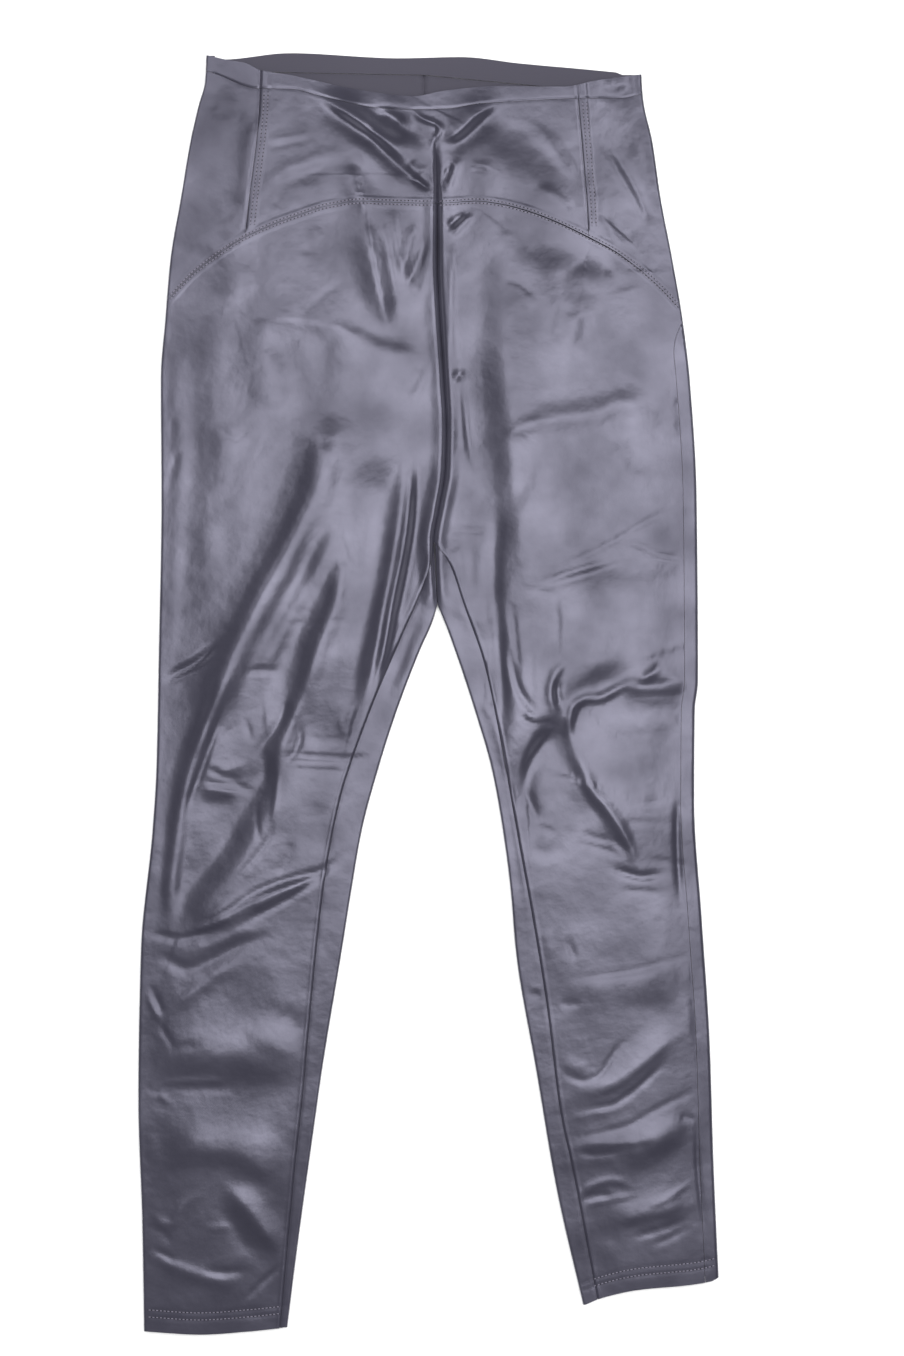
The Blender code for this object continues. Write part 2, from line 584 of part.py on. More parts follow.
def makeBackLeg(half):
    hipY = np.concatenate([half.yokeOuterY, half.hipOuterY[1:]])
    allY = np.concatenate([hipY, half.legOuterY[1:]])
    crotchRow = len(hipY) - 1
    inseam, edge, outward = half.inseam(), half.innerEdge(), half.innerOutward()
    topOfEdge = edge - outward * EDGE_RADIUS
    s = np.linspace(0, 1, COLUMNS_STRIP + 1)[None, :, None]
    strip = topBlock(inseam[:, None] * (1 - s) + topOfEdge[:, None] * s)
    roll = np.linspace(1, -1, COLUMNS_INNER_WRAP + 1)[None] * EDGE_RADIUS * np.pi / 2
    inner = wrapBlock(edge[:, None], outward[:, None], np.repeat(roll, len(edge), axis=0))
    legPoints = joined(strip, inner)

    underEnd = LEFT_SIDE_SEAM if half.sign < 0 else BACK_TURN
    slide = half.sideSeam(allY) - (0 if half.sign < 0 else COLUMNS_BACK_WRAP * SEAM_STEP)
    underGirth = np.minimum(underEnd, slide)
    outerPlan = half.edgeAt(allY) - half.outward * wrapInset(underGirth)[:, None]
    share = np.linspace(0, 1, crotchRow + 1)[:-1]
    start = np.array([BACK_CENTRE_X, BACK_BAND_Y])
    centrePlan = start + (topOfEdge[0] - start) * share[:, None]
    under = half.underRows(np.concatenate([centrePlan, topOfEdge]), outerPlan)
    hemShare = easeIn(half.q - 0.9, 0.1)[:, None]
    legUnder = under[crotchRow:]
    hemFix = lineY("hem_" + half.name, legUnder[-1, :, 0]) - legUnder[-1, :, 1]
    legUnder[..., 1] += hemShare * hemFix[None]

    firstUnder = legPoints[0].shape[1] - 1
    blank = np.zeros((crotchRow, firstUnder, 3))
    points = np.concatenate([blank, legPoints[0][:, :-1]], axis=0)
    normals = np.concatenate([blank, legPoints[1][:, :-1]], axis=0)
    bottom = underBlock(under)
    surface = np.concatenate([points, bottom[0]], axis=1), np.concatenate([normals, bottom[1]], axis=1)
    if half.sign > 0:
        surface = joined(surface, half.backWrap(allY))
    rows, columns = surface[0].shape[:2]
    used = np.ones((rows, columns), bool)
    used[:crotchRow, :firstUnder] = False

    centreLine = [(crotchRow, i) for i in range(firstUnder)]
    centreInside = [(crotchRow + 1, i) for i in range(firstUnder)]
    up = range(crotchRow, -1, -1)
    centreLine += [(j, firstUnder) for j in up]
    centreInside += [(j, firstUnder + 1) for j in up]
    seams = [
        columnSeam(0, 1, range(crotchRow, rows)),
        (centreLine, centreInside),
        rowSeam(0, 1, range(firstUnder, columns)),
        columnSeam(columns - 1, -1, range(rows)),
    ]
    wall = np.full((rows, 1), WALL)
    wall[-2:] = HEM_WALL
    clothPanel("back_leg_" + half.name, surface, wall, seams, used)


def makeYokes(left, right):
    tops = {}
    for half in (left, right):
        tops[half.name] = topBlock(half.yokeRows("front_band_seam", "yoke_seam", half.yokeOuterY))
        side = joined(half.frontWrap(half.yokeOuterY), columnsOf(tops[half.name], 0, COLUMNS_SIDE))
        panelWithSeams("front_yoke_side_" + half.name, side, WALL)
    middleLeft = columnsOf(tops["left"], COLUMNS_SIDE, COLUMNS_SIDE + COLUMNS_CENTRE)
    middleRight = columnsOf(tops["right"], COLUMNS_SIDE, COLUMNS_SIDE + COLUMNS_CENTRE)
    panelWithSeams("front_yoke_centre", joined(middleLeft, mirrored(middleRight)), WALL)


def panelWithSeams(name, surface, wall, freeTop=False, colour="cloth"):
    """A panel sewn on all its edges, apart from its top where that is free."""
    rows, columns = surface[0].shape[:2]
    seams = [
        rowSeam(rows - 1, -1, range(columns)),
        columnSeam(0, 1, range(rows)),
        columnSeam(columns - 1, -1, range(rows)),
    ]
    if not freeTop:
        seams.append(rowSeam(0, 1, range(columns)))
    clothPanel(name, surface, wall, seams, colour=colour)


def makeWaistband(left, right):
    halves = [
        joined(
            half.frontWrap(half.bandOuterY),
            topBlock(half.yokeRows("front_top", "front_band_seam", half.bandOuterY)),
        )
        for half in (left, right)
    ]
    panelWithSeams("waistband_front", joined(halves[0], mirrored(halves[1])), BAND_WALL, True, "band")

    backs = []
    for half in (left, right):
        y = half.bandOuterY
        end = half.sideSeam(y) if half.sign < 0 else np.full(len(y), BACK_TURN)
        outerPlan = half.edgeAt(y) - half.outward * wrapInset(end)[:, None]
        topY = lineY("back_top", BACK_CENTRE_X)
        centre = np.stack([np.full(len(y), BACK_CENTRE_X), np.linspace(topY, BACK_BAND_Y, len(y))], axis=-1)
        rows = half.underRows(outerPlan, centre)
        rows[0, :, 1] = lineY("back_top", rows[0, :, 0])
        block = underBlock(rows)
        if half.sign > 0:
            block = joined(mirrored(half.backWrap(y)), block)
        backs.append(block)
    panelWithSeams("waistband_back", joined(backs[0], mirrored(backs[1])), BAND_WALL, True, "band")


def main():
    for item in list(bpy.data.objects):
        bpy.data.objects.remove(item)
    left, right = Half("left", -1), Half("right", 1)
    for half in (left, right):
        makeFrontLeg(half)
        makeBackLeg(half)
    makeYokes(left, right)
    makeWaistband(left, right)


main()
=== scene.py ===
import math

import bmesh
import bpy
import numpy as np
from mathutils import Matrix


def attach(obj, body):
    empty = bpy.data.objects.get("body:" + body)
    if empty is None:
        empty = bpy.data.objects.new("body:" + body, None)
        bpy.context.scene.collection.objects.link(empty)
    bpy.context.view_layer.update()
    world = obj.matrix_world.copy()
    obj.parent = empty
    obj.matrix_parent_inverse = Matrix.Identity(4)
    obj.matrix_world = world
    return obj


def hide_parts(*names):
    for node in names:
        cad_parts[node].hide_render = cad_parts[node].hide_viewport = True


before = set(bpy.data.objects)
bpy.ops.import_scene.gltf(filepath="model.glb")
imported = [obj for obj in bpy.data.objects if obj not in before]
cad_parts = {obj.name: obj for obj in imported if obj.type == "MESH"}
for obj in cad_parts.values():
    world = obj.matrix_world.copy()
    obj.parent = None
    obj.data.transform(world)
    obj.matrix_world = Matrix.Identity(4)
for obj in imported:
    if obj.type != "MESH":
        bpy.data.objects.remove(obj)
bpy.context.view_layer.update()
mm = 0.001  # the shape is worked out in millimetres: +X across, +Y to the waist, +Z up

cloth = {
    "wall": 1.2,  # coated knit, one layer
    "bandWall": 2.0,  # elastic in its casing
    "seamGap": 0.3,  # from one panel's cut edge to the next
    "edgeRadius": 2.3,  # roll of the cloth at a folded edge
    "edgePress": 0.7,  # 1 is a round roll; less is a roll pressed flatter on top
    "riseOuter": 45.0,  # on the legs the top layer reaches its loft this far in from a folded edge
    "riseHips": 60.0,  # the same on the hips
    "riseGroove": (4.5, 5.5),  # the same left and right of the centre-front groove
    "lowestTop": 3.1,  # the top layer never sinks below this, so the layers stay clear
    "softBottom": 0.35,  # how gently a deep crease flattens out there
    "leftSideSeam": -8.0,  # arc length from the folded edge, minus is under the garment
    "backTurn": -16.0,  # where the right back starts to turn up round the outer edge
    "topStartRight": 20.0,  # arc length where the right front leaves the roll
    "crotchOuterY": 95.0,  # y on the outer edge of the row that meets the crotch
    "crotchY": 69.0,
    "seamLead": 49.0,  # the inseam starts this much above the crotch fold
    "leadFade": 6,  # power that brings the inseam level with the fold further down
    "crotchTurn": 0.03,  # share of the leg over which the fold turns to run along it
    "hemTurn": (0.9, 0.1),  # start and length, as shares of the leg, of the underside's turn to meet the hem
}

# x of each edge and lengthwise seam at height y
edges = {
    "outer_left": [
        (497, -173), (477, -174), (458, -179), (432, -185), (385, -193), (338, -201),
        (291, -205), (245, -208.5), (150, -208), (34, -210), (-60, -212),
        (-107, -215), (-200, -224), (-317, -226), (-411, -223), (-497, -221.5)],
    "outer_right": [
        (482, 166), (471, 166.5), (458, 168), (432, 174), (385, 181), (338, 190),
        (291, 198), (245, 203.5), (150, 209), (10, 210), (-13, 207.5),
        (-83, 207), (-177, 213), (-270, 219), (-364, 222), (-455, 226)],
    "inner_left": [
        (69, 7), (57, 3.5), (34, -6.5), (-13, -24.5), (-60, -39.5), (-107, -52), (-153, -60),
        (-200, -67.5), (-294, -83), (-340, -89.5), (-434, -102.5), (-494, -110)],
    "inner_right": [
        (69, 7), (57, 12), (34, 20.5), (-13, 36), (-60, 49.5), (-107, 58),
        (-153, 64), (-200, 68), (-294, 84), (-387, 100), (-476, 120.5)],
    "inseam_left": [
        (118, 4), (103, 2), (82, -5), (42, -22), (-15, -46), (-79, -68), (-121, -77),
        (-161, -83), (-247, -92), (-303, -97), (-379, -105), (-494, -115.5)],
    "inseam_right": [
        (118, 4), (104, 15), (68, 28), (25, 43), (-52, 59), (-114, 70),
        (-174, 81), (-242, 92), (-327, 103), (-369, 112), (-471, 131.5)],
    "centre": [
        (500, 3), (440, 5), (381, 7), (338, 7), (291, 9), (245, 12),
        (205, 14), (174, 13), (143, 8), (118, 4), (95, 5), (69, 7)],
    "princess_left": [(486, -130), (455, -131), (432, -133), (408, -136), (385, -139), (357, -142)],
    "princess_right": [(476, 115.5), (455, 117), (432, 119), (408, 121), (385, 123), (355, 124.5)],
}

# y of each seam and edge that runs across, at x
lines = {
    "front_top": [
        (-173, 497), (-157, 493), (-142, 490), (-130, 484), (-107, 480), (-69, 472),
        (-46, 468), (-10, 464), (13, 468), (56, 471.5), (103, 471), (134, 477), (166, 482)],
    "front_band_seam": [
        (-175, 485), (-166, 482), (-133, 470), (-104, 469), (-88, 465), (-46, 456),
        (-10, 453.5), (14, 454), (39, 457.5), (73, 460), (111, 462), (151, 463), (168, 467)],
    "yoke_seam": [
        (-204, 305), (-195, 315), (-182, 328), (-166, 340), (-147, 352), (-124, 363),
        (-100, 372), (-77, 379), (-53, 382), (7, 381), (36, 382.5), (56, 380), (79, 374),
        (103, 365), (126, 354), (145, 344), (165, 330), (181, 316), (198, 298)],
    "back_top": [
        (-173, 497), (-161, 494), (-108, 499), (-22, 495), (25, 496), (71, 491), (126, 486), (166, 482)],
    "hem_left": [(-221.5, -496.5), (-178, -499), (-139, -496.5), (-110, -493.5)],
    "hem_right": [(120.5, -476), (134, -471), (159, -465), (220, -457.5), (226, -454.5)],
}
outerY = {
    "band": {"left": (497, 485), "right": (482, 467)},
    "yoke": {"left": 305, "right": 298},
    "hem": {"left": -496.5, "right": -454.5},
    "hemInner": {"left": -493.5, "right": -476},
    "hemSeam": {"left": -494, "right": -471.5},
}
backCentre = (-3.5, 482)  # lower edge of the back band
frontCentreX = 5.0
princessX = {"left": -135.0, "right": 120.0}

loft = [
    (500, 10.5), (440, 10), (385, 8.8), (300, 7.2),
    (200, 6.6), (0, 6.2), (-200, 6), (-400, 5.6), (-500, 4.8)]
groove = [
    (500, 10.5), (440, 9.8), (412, 7.6), (381, 5.2), (340, 3.5), (118, 3.2), (95, 3.4), (74, 4.6), (60, 4.6)]
rightSideSeam = [(482, -6), (340, -5), (298, 0), (250, 12), (-460, 12)]  # arc length from the folded edge

# Folds: height of the crest, width on its left and right facing along the path, crest shape (1 sharp,
# 2 round, 4 flat), then the path. These large ones are the solids' own too; the small ones come after them.
folds = {
    "thighPullLeft": (4.6, 16, 15, 2, [
        (-72, 224), (-77, 206), (-84, 174), (-96, 136), (-112, 104),
        (-129, 73), (-142, 46), (-156, 18), (-168, -9), (-175, -24)]),
    "thighPlateauLeft": (2.8, 27, 27, 4, [
        (-52, 190), (-57, 135), (-61, 89), (-67, 57), (-74, 26), (-81, -5), (-87, -36)]),
    "thighInnerLeft": (1.6, 6, 7, 2, [(-14, 167), (-18, 120), (-24, 81), (-31, 42), (-38, 3)]),
    "yokePullLeft": (2.2, 16, 13, 2, [(-52, 373), (-46, 346), (-38, 315), (-32, 280)]),
    "kneeHollowLeft": (-1.0, 12, 12, 2, [
        (-128, -36), (-129, -67), (-143, -99), (-161, -126), (-182, -153), (-194, -177)]),
    "kneeCreaseLeft": (1.8, 6, 10, 2, [(-190, -185), (-155, -168), (-131, -158), (-100, -148), (-80, -140)]),
    "calfWaveLeft": (1.3, 20, 14, 2, [(-217, -276), (-170, -277), (-100, -279)]),
    "shinWaveLeft": (2.1, 21, 9, 2, [(-215, -354), (-155, -355), (-130, -366), (-106, -378)]),
    "ankleWaveLeft": (1.4, 10, 10, 2, [(-158, -381), (-135, -403), (-115, -436)]),
    "thighPlateauRight": (3.2, 62, 16, 2, [(60, 350), (60, 284), (66, 206), (72, 150), (78, 100), (81, 42)]),
    "hipWaveRight": (1.6, 10, 9, 2, [(60, 203), (87, 212), (126, 217), (153, 225), (173, 219), (184, 206)]),
    "kneeStepRight": (2.0, 30, 10, 2, [
        (153, 8), (134, -1), (118, -5), (112, -21), (112, -32),
        (120, -60), (126, -75), (142, -91), (153, -114), (165, -138)]),
    "kneeBarRight": (1.5, 6, 10, 2, [(149, 4), (169, 5), (198, 7)]),
    "kneeHollowRight": (-2.5, 9, 9, 2, [(108, -17), (91, -36), (77, -60), (75, -79), (87, -95)]),
    "calfBarRight": (1.0, 8, 16, 2, [(99, -228), (130, -227), (165, -223), (205, -212)]),
    "shinWaveRight": (1.2, 11, 11, 2, [(110, -313), (149, -298), (196, -262)]),
    "ankleWaveRight": (1.1, 9, 14, 2, [(114, -352), (165, -348), (200, -333)]),
    "ankleBarRight": (1.1, 9, 10, 2, [(134, -407), (173, -399), (205, -395)]),
    "yokeCrest": (1.6, 11, 6, 2, [(-77, 461), (-53, 444), (-27, 425), (-5, 408)]),
    "yokeSecondCrest": (1.0, 8, 12, 2, [(-61, 432), (-30, 408), (-8, 391)]),
    "yokeHollow": (-2.0, 11, 11, 2, [(-50, 446), (-32, 441), (-14, 438)]),
    "yokeArmRight": (1.1, 11, 7, 2, [(9, 432), (23, 436), (32, 446), (44, 453)]),
}
foldFade = {
    "taper": 40.0,  # a fold dies away over this much of its path at each end
    "taperWidths": 1.6,  # or over this many of its widths, if that is more
    "tapersInPath": 3.2,  # but a short path still holds this many tapers
    "endShare": 0.1,  # of the height is left at the ends
    "pathSteps": 6,  # points to each stretch of a path
    "reach": 3.2, "stepReach": 2.4,  # a crest and a step are worked out to this many widths from the path
}

# Smaller folds and creases, by region, with the same columns; a height below zero is a crease pressed in.
# Shape 0 is a step, high on the left: its height is half the drop, its second column how far the slope
# spreads and its third how far the level takes to come back. Paths are in photo pixels, from the top left.
creases = {
    "yokeLeft": [
        (-3.0, 13, 13, 2, [(312, 76), (340, 83), (370, 88), (400, 91), (428, 92)]),
        (-1.9, 10, 9, 2, [(348, 103), (370, 111), (385, 118), (400, 127), (420, 138), (433, 148)]),
        (1.8, 9, 3.5, 2, [(320, 98), (345, 115), (365, 128), (385, 142), (400, 155), (412, 168)]),
        (-1.7, 3.5, 8, 2, [
            (318, 104), (335, 117), (352, 127), (370, 141), (385, 156), (400, 171), (415, 184), (430, 195)]),
        (0.81, 6, 10, 2, [(340, 130), (360, 147), (380, 165), (400, 182), (425, 202)]),
        (-1.35, 4, 4, 2, [(378, 112), (392, 118), (404, 126)]),
        (1.35, 2.2, 2.2, 2, [(412, 112), (422, 121), (436, 127), (440, 134), (434, 143), (433, 156)]),
        (1.35, 4, 4, 2, [(408, 164), (416, 172), (422, 178)]),
        (-1.62, 2.5, 2.5, 2, [(411, 178), (420, 184), (432, 193)]),
        (1.62, 9, 8, 0, [(262, 198), (283, 180), (310, 170), (342, 158)]),
        (0.68, 4, 4, 0, [(268, 146), (290, 143), (312, 138)]),
        (-0.34, 5, 5, 2, [(275, 212), (280, 200), (290, 190)]),
        (1.4, 5, 10, 2, [(352, 165), (354, 190), (358, 208)]),
        (1.22, 3, 8, 2, [(262, 112), (255, 140), (250, 170), (247, 200), (244, 222)]),
        (0.6, 5, 20, 0, [(247, 205), (232, 218), (212, 232)]),
        (-0.6, 3, 3, 2, [(192, 116), (206, 108), (222, 108)]),
        (0.68, 5, 20, 0, [(205, 122), (225, 118), (246, 108)]),
    ],
    "yokeRight": [
        (1.7, 12, 3.5, 2, [(436, 141), (452, 138), (463, 130), (473, 120), (485, 112), (502, 106)]),
        (-1.8, 4, 8, 2, [(442, 151), (458, 146), (474, 134), (488, 121), (502, 112)]),
        (1.3, 3, 3, 2, [(459, 158), (453, 174), (447, 194)]),
        (-1.62, 3, 3, 2, [(453, 164), (446, 180), (441, 196)]),
        (0.94, 3.5, 3.5, 0, [(470, 171), (480, 170), (490, 173)]),
        (1.8, 16, 40, 0, [(596, 214), (560, 184), (530, 165), (500, 146), (470, 130)]),
        (1.08, 5, 7, 2, [(532, 127), (550, 145), (564, 165), (580, 188)]),
        (1.08, 6, 7, 2, [(535, 188), (555, 200), (575, 218)]),
        (1.35, 6, 6, 0, [(650, 232), (640, 208), (628, 184), (612, 158), (600, 142)]),
        (0.94, 6, 20, 0, [(632, 252), (615, 232), (600, 205)]),
        (0.68, 3, 10, 0, [(600, 88), (615, 92), (632, 86)]),
        (0.68, 4, 10, 0, [(655, 190), (648, 165), (640, 140)]),
    ],
    "hipLeft": [
        (3.2, 9, 13, 1, [(346, 158), (357, 184), (364, 206), (369, 240), (376, 278), (384, 312), (387, 346)]),
        (1.12, 3, 4, 2, [(392, 206), (396, 235), (400, 262), (406, 288)]),
        (-0.84, 6, 5, 2, [(384, 225), (391, 262), (397, 300), (402, 335)]),
        (1.12, 5, 30, 0, [(425, 354), (400, 348), (384, 344), (360, 336), (330, 330)]),
        (-1.3, 3, 3, 2, [(430, 240), (419, 262), (408, 290)]),
        (1.26, 3, 3, 2, [(415, 222), (408, 248), (403, 278)]),
        (0.98, 3, 3, 2, [(432, 252), (426, 275), (420, 300)]),
        (3.5, 34, 22, 1, [(238, 316), (262, 320), (300, 322), (340, 330), (384, 341)]),
        (1.12, 10, 30, 0, [(236, 255), (226, 285), (232, 310)]),
        (-0.3, 3, 3, 2, [(300, 318), (325, 296), (352, 280)]),
        (0.42, 4, 4, 2, [(318, 228), (316, 236), (322, 242)]),
        (-0.35, 4, 4, 2, [(302, 246), (310, 252), (318, 254)]),
        (1.8, 9, 30, 0, [(272, 425), (284, 400), (284, 375), (272, 350), (256, 330)]),
        (0.7, 6, 20, 0, [(322, 385), (312, 350), (300, 330)]),
        (0.7, 3, 3, 2, [(430, 362), (420, 388), (406, 410)]),
    ],
    "hipRight": [
        (-1.1, 9, 10, 2, [(506, 436), (526, 452), (527, 476), (516, 502), (508, 530)]),
        (1.6, 3, 4, 2, [(452, 236), (451, 262), (450, 300), (450, 340), (454, 362)]),
        (-1.4, 3, 3, 2, [(446, 230), (455, 222), (466, 214)]),
        (1.26, 3, 3, 2, [(452, 240), (460, 228), (474, 214)]),
        (1.12, 8, 30, 0, [(478, 360), (474, 320), (472, 280), (470, 245)]),
        (2.0, 11, 34, 0, [(620, 272), (590, 272), (560, 266), (535, 254), (508, 234)]),
        (1.7, 13, 30, 0, [(604, 296), (580, 302), (560, 290), (545, 272)]),
        (0.7, 5, 12, 0, [(574, 352), (579, 330), (581, 312)]),
        (-0.42, 5, 5, 2, [(505, 216), (506, 228), (508, 238)]),
        (-0.42, 5, 5, 2, [(600, 272), (614, 270)]),
        (-0.49, 2, 2, 2, [(502, 280), (520, 286), (538, 302)]),
        (0.7, 5, 10, 0, [(548, 345), (556, 320), (560, 300)]),
        (0.84, 4, 5, 2, [(503, 436), (512, 432), (525, 427), (545, 421)]),
        (-2.2, 21, 60, 0, [
            (490, 625), (494, 570), (498, 535), (504, 500), (506, 468), (498, 440),
            (488, 405), (480, 350), (476, 290), (474, 225), (474, 180), (478, 130)]),
        (0.98, 2.5, 2.5, 2, [(462, 378), (465, 410), (469, 445), (476, 474)]),
        (-1.4, 3, 3, 2, [(450, 378), (458, 376), (464, 372)]),
        (-1.5, 6, 6, 2, [(444, 408), (452, 428), (453, 446), (449, 468)]),
        (-0.7, 2, 2, 2, [(446, 530), (465, 531), (490, 532)]),
        (-0.7, 2, 2, 2, [(444, 551), (452, 547), (461, 543)]),
        (-1.4, 6, 6, 2, [(499, 500), (496, 530), (494, 565), (494, 600), (498, 640), (503, 690), (507, 740)]),
        (0.84, 5, 10, 0, [(464, 600), (464, 570), (464, 540)]),
        (-0.9, 2.5, 2.5, 2, [(534, 585), (555, 578), (580, 570), (615, 560)]),
        (0.5, 3, 4, 2, [(548, 586), (575, 578), (610, 568), (640, 560)]),
        (-0.49, 2, 2, 2, [(533, 576), (560, 568), (590, 554), (615, 541), (650, 520), (690, 505)]),
        (-0.84, 2, 2, 2, [(620, 541), (640, 546), (655, 554), (686, 560)]),
        (0.7, 7, 20, 0, [(562, 588), (600, 584), (650, 576), (695, 572)]),
        (0.6, 2.5, 10, 0, [(561, 660), (560, 625), (558, 593)]),
        (-0.35, 2, 2, 2, [(518, 588), (540, 592), (558, 593)]),
        (0.7, 5, 15, 0, [(632, 480), (626, 455), (618, 438)]),
        (0.56, 4, 10, 0, [(680, 440), (676, 410), (672, 380)]),
        (-0.7, 2, 2, 2, [(674, 398), (690, 412)]),
    ],
    "thighLeft": [
        (1.6, 14, 10, 2, [
            (326, 432), (322, 465), (314, 498), (302, 522), (289, 548), (274, 575), (260, 600),
            (248, 625), (237, 650), (228, 675), (218, 705), (205, 740), (192, 785)]),
        (2.2, 8, 8, 2, [
            (340, 515), (330, 545), (318, 568), (306, 590), (294, 612),
            (282, 634), (272, 652), (262, 675), (254, 700)]),
        (2.6, 9, 7, 2, [(344, 545), (339, 590), (332, 615), (321, 640), (314, 662), (306, 690), (300, 715)]),
        (-2.6, 7, 40, 0, [
            (404, 446), (402, 475), (399, 510), (393, 545), (387, 580),
            (380, 610), (373, 640), (366, 670), (357, 705)]),
        (2.4, 3.5, 4, 2, [
            (411, 452), (410, 490), (407, 528), (402, 556), (396, 585),
            (391, 610), (386, 640), (380, 668), (371, 702)]),
        (-1.2, 3.5, 3.5, 2, [(419, 470), (417, 510), (412, 550), (406, 582), (399, 612), (392, 640)]),
        (-0.5, 1.9, 1.9, 2, [(338, 515), (339, 535), (346, 555), (351, 568), (365, 572), (380, 576)]),
        (-0.5, 1.9, 1.9, 2, [(351, 568), (347, 580), (344, 590)]),
        (-0.4, 1.9, 1.9, 2, [(341, 600), (351, 589)]),
        (-0.4, 2.2, 2.2, 2, [(330, 509), (345, 512), (360, 517)]),
        (-0.25, 3, 3, 2, [
            (236, 450), (262, 446), (290, 447), (322, 444), (350, 443), (378, 445), (400, 452)]),
        (-0.35, 2.2, 2.2, 2, [(276, 624), (310, 624), (340, 623), (364, 625)]),
        (-0.5, 2, 2, 2, [(220, 428), (231, 438), (239, 439), (251, 427)]),
        (-0.8, 2, 2, 2, [(243, 672), (262, 670), (283, 671)]),
        (-2.4, 3, 3, 2, [(156, 687), (161, 684), (176, 674), (192, 666), (207, 655), (220, 640)]),
        (0.6, 7, 20, 0, [(174, 665), (177, 620), (181, 560), (187, 500), (190, 450), (184, 400), (184, 340)]),
        (-1.0, 2.5, 2.5, 2, [(178, 452), (173, 470), (166, 498)]),
        (-0.8, 2.5, 2.5, 2, [(171, 418), (173, 440)]),
        (0.6, 7, 25, 0, [(232, 470), (238, 445), (242, 420)]),
        (0.5, 6, 15, 0, [(216, 570), (218, 545), (214, 520)]),
        (0.5, 7, 20, 0, [(250, 500), (262, 470), (268, 450)]),
    ],
    "kneeLeft": [
        (2.2, 6, 7, 2, [
            (232, 668), (218, 700), (206, 727), (196, 752), (189, 776),
            (184, 802), (179, 832), (175, 862), (172, 892), (172, 930)]),
        (-1.0, 3, 3, 2, [(226, 705), (212, 742), (202, 770), (190, 800), (183, 826)]),
        (2.6, 10, 30, 0, [
            (268, 742), (271, 775), (262, 800), (248, 820), (236, 844),
            (219, 868), (202, 889), (189, 909), (181, 930)]),
        (-1.4, 6, 6, 2, [(264, 745), (265, 770), (262, 790)]),
        (1.4, 5, 6, 2, [(303, 690), (296, 712), (289, 730), (282, 750), (279, 770)]),
        (-1.2, 4, 4, 2, [(290, 690), (282, 718), (268, 740), (251, 757)]),
        (0.6, 2.2, 2.2, 2, [(279, 762), (277, 790), (274, 818), (269, 838)]),
        (-0.6, 1.9, 1.9, 2, [(274, 806), (271, 834), (261, 850), (246, 868), (231, 886)]),
        (-0.4, 1.9, 1.9, 2, [(258, 802), (258, 825), (262, 846)]),
        (-0.8, 2.2, 2.2, 2, [(297, 722), (301, 737), (294, 754), (281, 766)]),
        (-0.5, 2.2, 2.2, 2, [(245, 716), (249, 730), (252, 742)]),
        (-0.3, 2, 2, 2, [(224, 736), (241, 722)]),
        (-1.0, 2, 2, 2, [(196, 781), (222, 784), (244, 788), (262, 795)]),
        (0.7, 1.8, 1.8, 2, [(198, 787), (220, 790), (241, 794)]),
        (-0.8, 2, 2, 2, [(206, 768), (224, 776), (246, 783)]),
        (0.6, 3, 20, 0, [(198, 795), (220, 798), (238, 796)]),
        (0.5, 3, 3, 2, [(215, 775), (235, 768), (250, 760)]),
        (-0.9, 2.2, 2.2, 2, [(279, 753), (310, 757), (352, 759), (382, 756)]),
        (0.4, 3, 4, 2, [(284, 762), (315, 763), (350, 765)]),
        (-0.4, 2.2, 2.2, 2, [(286, 768), (320, 769), (352, 771)]),
        (-0.35, 2, 2, 2, [(302, 739), (324, 741), (345, 740)]),
        (0.5, 3, 3, 2, [(345, 712), (342, 724), (348, 738)]),
        (-0.7, 8, 8, 2, [(322, 798), (318, 830), (316, 856)]),
        (-0.5, 4, 4, 2, [(291, 838), (288, 858), (274, 878)]),
        (-1.6, 3, 3, 2, [
            (196, 925), (216, 917), (236, 905), (256, 893), (276, 884), (300, 877), (326, 868), (346, 852)]),
        (0.9, 3, 3, 2, [(190, 930), (212, 924), (234, 914)]),
        (1.0, 4, 4, 2, [(246, 910), (268, 899), (292, 886), (318, 876)]),
        (-1.0, 2.5, 2.5, 2, [(240, 923), (264, 911), (286, 899), (306, 887), (327, 872)]),
        (-0.9, 2.5, 2.5, 2, [(142, 932), (162, 935), (182, 938), (204, 932), (228, 925)]),
    ],
    "kneeRight": [
        (-2.8, 9, 45, 0, [
            (640, 660), (614, 668), (592, 679), (575, 690), (566, 706), (560, 720),
            (549, 732), (538, 744), (529, 758), (525, 774), (526, 792)]),
        (1.8, 3, 4, 2, [
            (640, 674), (628, 683), (614, 691), (600, 698), (585, 699),
            (574, 706), (570, 718), (569, 732), (575, 746)]),
        (1.6, 4, 5, 2, [
            (573, 742), (580, 760), (587, 777), (593, 791), (603, 803),
            (613, 816), (623, 832), (631, 851), (639, 869)]),
        (-0.5, 4, 4, 2, [(574, 774), (583, 790), (592, 806), (607, 820)]),
        (-0.8, 4, 4, 2, [(610, 836), (622, 846), (631, 856)]),
        (0.6, 5, 6, 2, [(622, 689), (636, 686), (660, 686), (694, 685)]),
        (0.5, 7, 22, 0, [(624, 700), (650, 703), (690, 703)]),
        (-0.35, 2.2, 2.2, 2, [(622, 695), (650, 695), (694, 694)]),
        (-1.2, 3, 3, 2, [(660, 662), (654, 672), (640, 681)]),
        (0.4, 5, 20, 0, [(605, 742), (630, 732), (660, 728), (694, 727)]),
        (1.3, 3, 4, 2, [(568, 660), (556, 673), (551, 688), (552, 702), (558, 716)]),
        (-1.3, 3, 3, 2, [(558, 678), (557, 695), (562, 709)]),
        (-1.2, 3, 3, 2, [(509, 640), (512, 664), (518, 688), (528, 704), (537, 716)]),
        (-1.0, 2.5, 2.5, 2, [(517, 714), (530, 722), (544, 723), (557, 721)]),
        (0.8, 3, 3, 2, [(524, 712), (531, 717), (540, 720)]),
